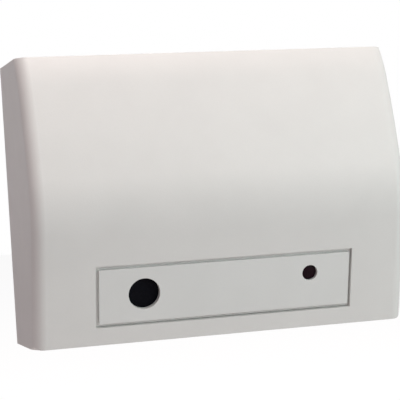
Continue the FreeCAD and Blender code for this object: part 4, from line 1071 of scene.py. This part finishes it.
@dataclass
class PanelStrip:
    """The flat strip let into the cover, with its felt and lens."""

    cover: CoverMoulding
    gap_side: float = 0.85
    gap_foot: float = 1.05
    gap_head: float = 1.05
    groove: float = 1.1
    flange_gap: float = 0.12
    edge_round: float = 0.1
    mic: tuple[float, float, float] = (-23.0, 13.65, 4.35)
    lamp: tuple[float, float, float] = (24.3, 15.9, 2.2)
    hole_depths: Point = (-2.0, 4.0)
    snap_half: float = 3.0
    snap_thick: float = 1.2
    snap_reach: float = 0.7
    snap_gap: float = 0.15
    felt_radius: float = 5.6
    felt_thick: float = 0.8
    fibre: float = 0.06
    lens_gap: float = 0.05
    lens_top: float = 0.5
    lens_crown: float = 0.55
    lens_flange: Point = (3.1, 0.8)

    def _hole(self, hole: tuple[float, float, float], steps: int) -> Solid:
        """Give the rod that cuts one of the holes."""
        across, up, radius = hole
        return Solid.rod(radius, self.cover.spot(across, up), *self.hole_depths, steps)

    def _snap(self, side: int) -> Solid:
        """Give one of the legs that hold the strip behind the rib.

        Args:
            side: One for the right leg and minus one for the left.

        Returns:
            The leg with its hook.
        """
        left, low, right, high = self.cover.opening
        edge = (right if side > 0 else left) - side * (self.cover.ledge + self.snap_gap)
        middle = (low + high) / 2
        depth = self.cover.wall + self.cover.rib_depth + self.snap_gap
        blocks: list[Solid] = []
        for reach, start, end in ((0.0, 1.0, depth + self.snap_thick / 2),
                                  (self.snap_reach, depth, depth + self.snap_thick)):
            near, far = sorted((edge + side * reach, edge - side * self.snap_thick))
            outline = box_outline(near, middle - self.snap_half, far, middle + self.snap_half)
            blocks.append(Solid.prism(outline, self.cover.face, start, end))
        return blocks[0] + blocks[1]

    def _strip(self) -> Thing:
        """Build the strip.

        Returns:
            The piece.
        """
        left, low, right, high = self.cover.opening
        outline = box_outline(left + self.gap_side, low + self.gap_foot,
                              right - self.gap_side, high - self.gap_head)
        flange = self.cover.window(self.flange_gap)
        rows = ((flange, self.cover.sunk), (flange, self.groove), (outline, self.groove),
                (outline, 0.0))
        strip = Solid.stacked([[self.cover.face(x, y, depth) for x, y in row]
                               for row, depth in rows])
        strip = strip - self._hole(self.mic, 64) - self._hole(self.lamp, 40)
        strip = strip + self._snap(-1) + self._snap(1)
        return strip.ease(self.edge_round, 3).piece("panel_strip", Plastic.PANEL, "sensor_panel",
                                                    "cover")

    def _felt(self) -> Thing:
        """Build the felt disc with a fibrous face.

        Returns:
            The piece.
        """
        radius, start = self.felt_radius, self.cover.sunk
        end, soft = start + self.felt_thick, 0.05
        rng = np.random.default_rng(7)
        face = [(ring, start + 0.03) for ring in (0.0, *np.linspace(0.35, radius - soft, 16))]
        profile = [*face, (radius, start + 0.12), (radius, end - soft), (radius - soft, end),
                   (0.0, end)]
        felt = Solid.turned(profile, self.cover.spot(*self.mic[:2]), 64)
        inwards = Vector(self.cover.face(0.0, 0.0, 1.0)) - Vector(self.cover.face(0.0, 0.0, 0.0))
        for vertex in felt.thing.data.vertices:
            vertex.co += inwards * (float(rng.random()) * self.fibre)
        return felt.piece("felt_disc", Trim.FELT, "acoustic_felt", "cover")

    def _lens(self) -> Thing:
        """Build the lens with a domed face and its flange.

        Returns:
            The piece.
        """
        across, up, hole = self.lamp
        radius, start = hole - self.lens_gap, self.cover.sunk
        (wide, thick), soft = self.lens_flange, 0.1
        dome = arc((0.0, self.lens_top + self.lens_crown), (radius, -self.lens_crown), 10,
                   math.pi / 2, 0.0)
        profile = [*dome, (radius, start), (wide - soft, start), (wide, start + soft),
                   (wide, start + thick - soft), (wide - soft, start + thick),
                   (0.0, start + thick)]
        lens = Solid.turned(profile, self.cover.spot(across, up), 48)
        return lens.piece("lens_plug", Trim.LENS, "indicator_lens", "cover")

    def build(self) -> list[Thing]:
        """Build and dress the strip, the felt and the lens."""
        return [self._strip(), self._felt(), self._lens()]


@dataclass
class Battery:
    """The lithium cell: a steel can in a shrunk film that leaves both ends bare."""

    left: float = -40.35
    depth: float = 12.0
    up: float = 19.5
    length: float = 34.5
    radius: float = 8.5
    nub: Point = (3.3, 1.0)
    film_lip: float = 1.2

    def _put(self, x: float, y: float, along: float) -> Corner:
        """Put a point by its place round the cell's middle line and along it."""
        return (self.left + along, -(self.depth + x), self.up + y)

    def build(self) -> list[Thing]:
        """Build and dress the film and the can.

        Returns:
            The two pieces.
        """
        (nub, start), end = self.nub, self.length
        mouth, soft = self.radius - self.film_lip, 0.3
        rim = [(0.0, 0.4), (mouth - 0.02, 0.4), (mouth, 0.05), (mouth + 0.1, 0.0),
               (self.radius - soft, 0.0), (self.radius - 0.08, 0.1), (self.radius, soft)]
        film = [(radius, start + inset) for radius, inset in rim]
        film += [(radius, end - inset) for radius, inset in reversed(rim)]
        can = [(0.0, 0.02), (nub - 0.25, 0.02), (nub, 0.25), (nub, start + 0.1),
               (nub + 0.5, start + 0.2), (mouth - 0.9, start + 0.2), (mouth - 0.6, start + 0.12),
               (mouth + 0.05, start + 0.12), (mouth + 0.05, end - 0.12), (mouth - 0.8, end - 0.12),
               (mouth - 1.1, end - 0.24), (1.2, end - 0.24), (0.9, end - 0.12), (0.0, end - 0.12)]
        return [Solid.turned(film, self._put, 72).piece("battery_film", Trim.SLEEVE, "battery"),
                Solid.turned(can, self._put, 64).piece("battery_ends", Trim.CAN, "battery")]


@dataclass
class BoardScrews:
    """Four pan head screws with cross recesses."""

    spots: tuple[Point, ...] = ((-36.5, -30.5), (36.5, -30.5), (36.5, 29.5), (-36.5, -4.0))
    head: Point = (2.4, 1.5)
    brim: float = 0.55
    shank: Point = (1.1, 7.5)
    cross: Point = (1.3, 0.32)
    cross_depth: float = 0.85
    cross_shares: Point = (0.62, 1.08)

    def _screw(self, spot: Point) -> Solid:
        """Give one screw.

        Args:
            spot: Its place on the board.

        Returns:
            The screw.
        """
        put = around(*spot)
        radius, thick = self.head
        shank, length = self.shank
        top = BOARD_FACE + thick
        dome = arc((0.0, BOARD_FACE + self.brim), (radius, thick - self.brim), 9)
        screw = Solid.turned([(0.0, BOARD_FACE - length), (shank, BOARD_FACE - length),
                              (shank, BOARD_FACE), (radius - 0.1, BOARD_FACE),
                              (radius, BOARD_FACE + 0.12), *dome], put, 40)
        depths = (top - self.cross_depth, top + 0.5)
        for reach, half in (self.cross, self.cross[::-1]):
            wings = [[put(x * share, y * share, depth)
                      for x, y in box_outline(-reach, -half, reach, half)]
                     for share, depth in zip(self.cross_shares, depths)]
            screw = screw - Solid.stacked(wings)
        return screw

    def build(self) -> list[Thing]:
        """Build and dress the screws."""
        screws = Solid.together([self._screw(spot) for spot in self.spots])
        return [screws.ease(0.05, limit=40.0).piece("pan_head_screws", Trim.ZINC, "board_screws")]


class Side(Enum):
    """The sides of a chip, each with the way that its leads point."""

    RIGHT = (1, 0)
    TOP = (0, 1)
    LEFT = (-1, 0)
    BOTTOM = (0, -1)


@dataclass
class Chip:
    """A moulded chip on bent leads."""

    name: str
    across: float
    up: float
    width: float
    height: float
    pitch: float
    count: int
    sides: tuple[Side, ...]
    lead_width: float = 0.4
    flanks: tuple[Point, ...] = ((0.14, 0.19), (0.0, 0.70), (0.0, 0.80), (0.14, 1.4))
    mark_radius: float = 0.42
    mark_depth: float = 0.1

    def _case(self) -> Solid:
        """Give the case, which narrows from its parting line to the front and the back.

        Returns:
            The case.
        """
        put = around(self.across, self.up)
        right, top = self.width / 2, self.height / 2
        loops = [[put(x, y, BOARD_FACE + high)
                  for x, y in box_outline(inset - right, inset - top, right - inset, top - inset)]
                 for inset, high in self.flanks]
        mark = around(self.across - right + 1.0, self.up + top - 1.0)
        front = BOARD_FACE + self.flanks[-1][1]
        return Solid.stacked(loops) - Solid.rod(self.mark_radius, mark, front - self.mark_depth,
                                                front + 1.0, 24)

    def _lead(self, side: Side, along: float) -> Solid:
        """Give one lead, which leaves the case level, bends down and ends in a foot.

        Args:
            side: The side it leaves from.
            along: Its place along that side.

        Returns:
            The lead.
        """
        cosine, sine = side.value
        half = self.height / 2 if sine else self.width / 2

        def put(out: float, high: float, aside: float) -> Corner:
            """Put a point of the lead.

            Args:
                out: How far it is from the case.
                high: Its height over the board.
                aside: How far it is from the lead's middle.

            Returns:
                The point.
            """
            x, y = half + out, along + aside
            return (self.across + x * cosine - y * sine, -(BOARD_FACE + high),
                    self.up + x * sine + y * cosine)

        bent = [(-0.2, 0.67), (-0.2, 0.83), (0.26, 0.83), (0.35, 0.78), (0.50, 0.20), (0.56, 0.16),
                (1.0, 0.16), (1.0, 0.0), (0.48, 0.0), (0.38, 0.06), (0.22, 0.62), (0.18, 0.67)]
        return Solid.prism(bent, put, -self.lead_width / 2, self.lead_width / 2)

    def build(self) -> list[Thing]:
        """Build and dress the case and its leads.

        Returns:
            The two pieces.
        """
        case = self._case().ease(0.06)
        leads = Solid.together([self._lead(side, along) for side in self.sides
                                for along in spread(self.count, self.pitch)]).ease(0.03, 1)
        return [case.piece(f"{self.name}_case", Plastic.BLACK, f"{self.name}_chip"),
                leads.piece(f"{self.name}_legs", Trim.TINNED, f"{self.name}_leads")]


@dataclass
class ChipParts:
    """The small resistors and capacitors: fired bodies with tinned ends, soldered down."""

    length: float = 2.0
    width: float = 1.25
    thick: float = 0.6
    cap: float = 0.4
    solder: float = 0.38
    pitch: float = 2.2
    columns: tuple[tuple[float, float, int], ...] = ((-6.6, -7.5, 5), (-2.6, -25.0, 4),
                                                     (0.8, -25.0, 4), (-28.0, -17.0, 2))
    row: tuple[float, float, float, int] = (20.5, 5.5, 3.4, 5)

    def _spots(self) -> list[tuple[float, float, bool]]:
        """List every part's place.

        Returns:
            Across and up, and whether the part stands upright.
        """
        spots = [(across, up + step, False) for across, up, count in self.columns
                 for step in spread(count, self.pitch)]
        across, up, pitch, count = self.row
        return spots + [(across + step, up, True) for step in spread(count, pitch)]

    def _block(self, spot: tuple[float, float, bool], ends: Point, wide: float,
               highs: Point) -> Solid:
        """Give a block along a part whose height changes from one end to the other.

        Args:
            spot: The part's place, and whether it stands upright.
            ends: Where the block starts and ends.
            wide: How wide it is.
            highs: How high it is at its start and end.

        Returns:
            The block.
        """
        across, up, upright = spot
        corners: list[Corner] = []
        for end, high in zip(ends, highs):
            for side in (-wide / 2, wide / 2):
                x, y = (side, end) if upright else (end, side)
                corners += [(across + x, -BOARD_FACE, up + y),
                            (across + x, -BOARD_FACE - high, up + y)]
        return Solid(corners, [(0, 1, 3, 2), (4, 6, 7, 5), (0, 4, 5, 1), (2, 3, 7, 6),
                               (0, 2, 6, 4), (1, 5, 7, 3)])

    def build(self) -> list[Thing]:
        """Build and dress the parts.

        Returns:
            The two pieces.
        """
        bodies: list[Solid] = []
        ends: list[Solid] = []
        half = self.length / 2
        cap = half - self.cap
        inner, thick = cap + 0.05, self.thick - 0.04
        for spot in self._spots():
            bodies.append(self._block(spot, (-inner, inner), self.width - 0.06, (thick, thick)))
            for way in (-1, 1):
                ends.append(self._block(spot, (way * cap, way * half), self.width,
                                        (self.thick, self.thick)))
                ends.append(self._block(spot, (way * (half - 0.02), way * (half + self.solder)),
                                        self.width - 0.1, (self.thick * 0.7, 0.05)))
        return [Solid.together(blocks).ease(0.05).piece(name, finish, "chip_parts")
                for name, blocks, finish in (("fired_bodies", bodies, Trim.CERAMIC),
                                             ("tinned_ends", ends, Trim.TINNED))]


@dataclass
class BufferCapacitor:
    """A rolled aluminium can on a black foot."""

    number: int
    across: float
    up: float = -27.5
    radius: float = 3.15
    foot: float = 0.8
    foot_side: float = 6.6
    foot_cut: float = 0.8
    tall: float = 6.4
    crown: float = 0.45
    crimp: tuple[float, float, float] = (1.65, 0.38, 0.55)
    vents: int = 3
    vent: Point = (1.9, 0.11)

    def _can(self) -> Solid:
        """Give the can with its crimp, its round crown and the vent grooves.

        Returns:
            The can.
        """
        put = around(self.across, self.up)
        low, top, radius = BOARD_FACE + 0.3, BOARD_FACE + self.tall, self.radius
        high, deep, tall = self.crimp
        crimp = [(radius - deep * math.cos(turn) ** 2, BOARD_FACE + high + tall * math.sin(turn))
                 for turn in np.linspace(-math.pi / 2, math.pi / 2, 9)]
        crown = arc((radius - self.crown, top - self.crown), (self.crown, self.crown), 6)
        can = Solid.turned([(0.0, low), (radius, low), *crimp, *crown, (radius - 0.6, top),
                            (radius - 0.75, top - 0.08), (0.0, top - 0.08)], put, 56)
        reach, half = self.vent
        for index in range(self.vents):
            turn = index * math.pi / self.vents
            along = Vector((math.cos(turn), math.sin(turn)))
            aside = Vector((-along.y, along.x))
            groove = [along * x + aside * y for x, y in ((reach, half), (-reach, half),
                                                         (-reach, -half), (reach, -half))]
            can = can - Solid.prism(groove, put, top - 0.2, top + 0.5)
        return can

    def build(self) -> list[Thing]:
        """Build and dress the can and the foot.

        Returns:
            The two pieces.
        """
        can = self._can()
        half, cut = self.foot_side / 2, self.foot_cut
        outline = [(-half, -half), (half - cut, -half), (half, cut - half), (half, half - cut),
                   (half - cut, half), (-half, half)]
        foot = Solid.prism(outline, around(self.across, self.up), BOARD_FACE,
                           BOARD_FACE + self.foot)
        name = f"buffer_capacitor_{self.number}"
        return [can.piece(f"rolled_can_{self.number}", Trim.CAN, name),
                foot.ease(0.1).piece(f"capacitor_foot_{self.number}", Plastic.BLACK, name)]


@dataclass
class IndicatorLamp:
    """The small lamp: a flange and a domed body of tinted resin."""

    across: float = 24.3
    up: float = -23.27
    back: float = 22.15
    flange: Point = (1.95, 1.0)
    radius: float = 1.5
    length: float = 5.3

    def build(self) -> list[Thing]:
        """Build and dress the lamp.

        Returns:
            The piece.
        """
        wide, thick = self.flange
        front = self.back + thick
        dome = arc((0.0, self.back + self.length - self.radius), (self.radius, self.radius), 12)
        profile = [(0.0, self.back), (wide - 0.1, self.back), (wide, self.back + 0.1),
                   (wide, front - 0.12), (wide - 0.12, front), (self.radius + 0.08, front),
                   (self.radius, front + 0.1), *dome]
        lamp = Solid.turned(profile, around(self.across, self.up), 40)
        return [lamp.piece("lamp_dome", Trim.LAMP, "indicator_lamp")]


@dataclass
class RadioShield:
    """The drawn sheet lid over the radio, with vent holes."""

    node: Thing
    middle: Point = (20.5, 15.0)
    front: float = 20.4
    sheet: float = 0.3
    vents: tuple[int, int] = (5, 3)
    pitch: float = 3.6
    vent_radius: float = 0.5
    clear: float = 0.5

    def build(self) -> list[Thing]:
        """Build and dress the lid.

        Returns:
            The piece.
        """
        lid = Solid.of_node(self.node)
        low, high = self.front - self.sheet - self.clear, self.front + self.clear
        for x in spread(self.vents[0], self.pitch):
            for y in spread(self.vents[1], self.pitch):
                put = around(self.middle[0] + x, self.middle[1] + y)
                lid = lid - Solid.rod(self.vent_radius, put, low, high, 20)
        return [lid.ease(0.05).piece("shield_lid", Trim.TINNED, "radio_shield")]


@dataclass(frozen=True)
class Eased:
    """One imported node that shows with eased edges."""

    node: str
    name: str
    finish: Plastic | Trim
    width: float
    body: str = "base"


@dataclass
class EasedNodes:
    """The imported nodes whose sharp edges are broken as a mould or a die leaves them."""

    nodes: Mapping[str, Thing]
    limit: float = 35.0
    items: tuple[Eased, ...] = (
        Eased("rear_base", "base_moulding", Plastic.BASE, 0.22),
        Eased("circuit_board", "board_panel", Trim.BOARD, 0.06),
        Eased("battery_contact_positive", "positive_strip", Trim.SPRING, 0.06),
        Eased("battery_contact_negative", "negative_strip", Trim.SPRING, 0.06),
        Eased("microphone_boot", "rubber_tube", Trim.RUBBER, 0.25),
        Eased("lamp_spacer", "spacer_ring", Plastic.BLACK, 0.12),
        Eased("tamper_switch_body", "tamper_case", Plastic.BLACK, 0.12),
        Eased("tamper_plunger", "tamper_pin", Plastic.WHITE, 0.1, "plunger"),
        Eased("setting_switch_body", "setting_case", Plastic.RED, 0.1),
        Eased("setting_slider_1", "slider_knob_1", Plastic.WHITE, 0.12, "slider_1"),
        Eased("setting_slider_2", "slider_knob_2", Plastic.WHITE, 0.12, "slider_2"),
        Eased("crystal", "crystal_can", Trim.TINNED, 0.1),
        Eased("antenna_strip", "antenna_bracket", Trim.TINNED, 0.08),
    )

    def build(self) -> list[Thing]:
        """Build and dress them all.

        Returns:
            The pieces.
        """
        made: list[Thing] = []
        for item in self.items:
            solid = Solid.of_node(self.nodes[item.node]).ease(item.width, limit=self.limit)
            made.append(solid.piece(item.name, item.finish, item.node, item.body))
        return made


@dataclass
class PlainNodes:
    """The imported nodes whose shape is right, and their finishes."""

    nodes: Mapping[str, Thing]
    finishes: tuple[tuple[str, Trim], ...] = (("microphone_capsule", Trim.CAN),)

    def build(self) -> list[Thing]:
        """Give each node its finish.

        Returns:
            The nodes.
        """
        for name, finish in self.finishes:
            materials = self.nodes[name].data.materials
            materials.clear()
            materials.append(finish.value.material())
        return [self.nodes[name] for name, _ in self.finishes]


# The studio


@dataclass
class Lamp:
    """One soft lamp that looks at the object."""

    name: str
    azimuth: float
    elevation: float
    distance: float
    side: float
    strength: float
    colour: Colour

    def light(self, target: Vector) -> None:
        """Hang the lamp and aim it.

        Args:
            target: The point that it looks at.
        """
        data = bpy.data.lights.new(self.name, "AREA")
        data.shape = "SQUARE"
        data.size = self.side
        data.energy = self.strength
        data.color = self.colour
        turn, rise = math.radians(self.azimuth), math.radians(self.elevation)
        aim = Vector((math.sin(turn) * math.cos(rise), -math.cos(turn) * math.cos(rise),
                      math.sin(rise)))
        lamp = hang(self.name, data)
        lamp.location = target + aim * self.distance
        lamp.rotation_mode = "QUATERNION"
        lamp.rotation_quaternion = aim.to_track_quat("Z", "Y")


@dataclass
class Studio:
    """A white floor, soft lamps and the camera."""

    ambient: Colour = (0.103, 0.086, 0.105)
    floor_drop: float = 0.060
    floor_reach: float = 3.0
    floor_tone: Colour = (0.8, 0.8, 0.8)
    floor_glow: float = 1.10
    floor_share: float = 0.85
    lamps: tuple[Lamp, ...] = (
        Lamp("top_lamp", azimuth=0.0, elevation=75.0, distance=1.2, side=0.6, strength=11.5,
             colour=(1.0, 0.874, 0.834)),
        Lamp("key_lamp", azimuth=28.0, elevation=25.0, distance=1.2, side=0.6, strength=2.7,
             colour=(0.82, 1.0, 1.0)),
        Lamp("near_lamp", azimuth=45.0, elevation=10.0, distance=0.5, side=0.25, strength=0.53,
             colour=(0.82, 1.0, 0.964)),
    )
    eye: Corner = (-103.39, -376.73, -3.06)
    yaw: float = 0.2740
    pitch: float = -0.0035
    roll: float = 0.0633
    lens: float = 119.06
    film: float = 36.0

    def build(self) -> None:
        """Light the scene, lay the floor and set the camera."""
        low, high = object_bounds()
        for lamp in self.lamps:
            lamp.light((low + high) / 2)
        self._build_world()
        self._build_floor(low.z - self.floor_drop)
        self._build_camera()
        bpy.context.scene.view_settings.view_transform = "Standard"
        LOG.info("studio built")

    def _build_world(self) -> None:
        """Surround the object with even light, and with white where the camera looks."""
        bpy.context.scene.world = bpy.data.worlds.new("surround")
        world = Shader(bpy.context.scene.world)
        camera, glossy, through = (world.node("ShaderNodeLightPath", output=f"Is {kind} Ray")
                                   for kind in ("Camera", "Glossy", "Transmission"))
        dim, white = (world.node("ShaderNodeBackground", sockets={"Color": colour})
                      for colour in (self.ambient, WHITE))
        seen = camera.most(glossy.most(through))
        blend = world.node("ShaderNodeMixShader", sockets={0: seen, 1: dim, 2: white})
        world.close(blend)

    def _build_floor(self, level: float) -> None:
        """Lay the floor.

        Args:
            level: Its height.
        """
        reach = self.floor_reach
        mesh = bpy.data.meshes.new("floor")
        mesh.from_pydata([(x, y, level) for x, y in box_outline(-reach, -reach, reach, reach)],
                         [], [(0, 1, 2, 3)])
        mesh.materials.append(bpy.data.materials.new("floor_white"))
        shader = Shader(mesh.materials[0])
        rays = shader.node("ShaderNodeLightPath", output="Is Camera Ray")
        diffuse = shader.node("ShaderNodeBsdfDiffuse", sockets={"Color": self.floor_tone})
        glow = shader.node("ShaderNodeEmission", sockets={"Color": WHITE,
                                                          "Strength": self.floor_glow})
        blend = shader.node("ShaderNodeMixShader",
                            sockets={0: rays * self.floor_share, 1: diffuse, 2: glow})
        shader.close(blend)
        hang("floor", mesh)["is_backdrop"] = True

    def _build_camera(self) -> None:
        """Stand the camera where the photograph was taken from."""
        ahead = Vector((math.sin(self.yaw) * math.cos(self.pitch),
                        math.cos(self.yaw) * math.cos(self.pitch), -math.sin(self.pitch)))
        right = Vector((math.cos(self.yaw), -math.sin(self.yaw), 0.0))
        down = ahead.cross(right)
        turned = right * math.cos(self.roll) + down * math.sin(self.roll)
        below = down * math.cos(self.roll) - right * math.sin(self.roll)
        data = bpy.data.cameras.new("camera")
        data.sensor_width = self.film
        data.lens = self.lens
        data.clip_start, data.clip_end = 0.01, 20.0
        camera = hang("camera", data)
        axes = Matrix((turned, -below, -ahead)).transposed()
        camera.matrix_world = Matrix.Translation(Vector(self.eye) * MM) @ axes.to_4x4()
        bpy.context.scene.camera = camera


def main() -> None:
    """Build and dress every piece and light it."""
    logging.basicConfig(level=logging.INFO, format="%(name)s: %(message)s")
    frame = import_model()
    nodes = frame["nodes"]
    cover = CoverMoulding()
    groups = (
        PlainNodes(nodes),
        cover,
        PanelStrip(cover),
        EasedNodes(nodes),
        Battery(),
        BoardScrews(),
        Chip("processor", across=-14.5, up=-7.5, width=9.0, height=9.0, pitch=1.0, count=8,
             sides=tuple(Side)),
        Chip("amplifier", across=-8.0, up=-25.0, width=4.0, height=8.6, pitch=1.27, count=6,
             sides=(Side.RIGHT, Side.LEFT)),
        ChipParts(),
        BufferCapacitor(1, across=9.0),
        BufferCapacitor(2, across=16.6),
        IndicatorLamp(),
        RadioShield(nodes["radio_shield"]),
    )
    for group in groups:
        for piece in group.build():
            LOG.info("%s built and dressed", piece.name)
    Studio().build()
    bpy.context.view_layer.update()


if __name__ == "__main__":
    main()
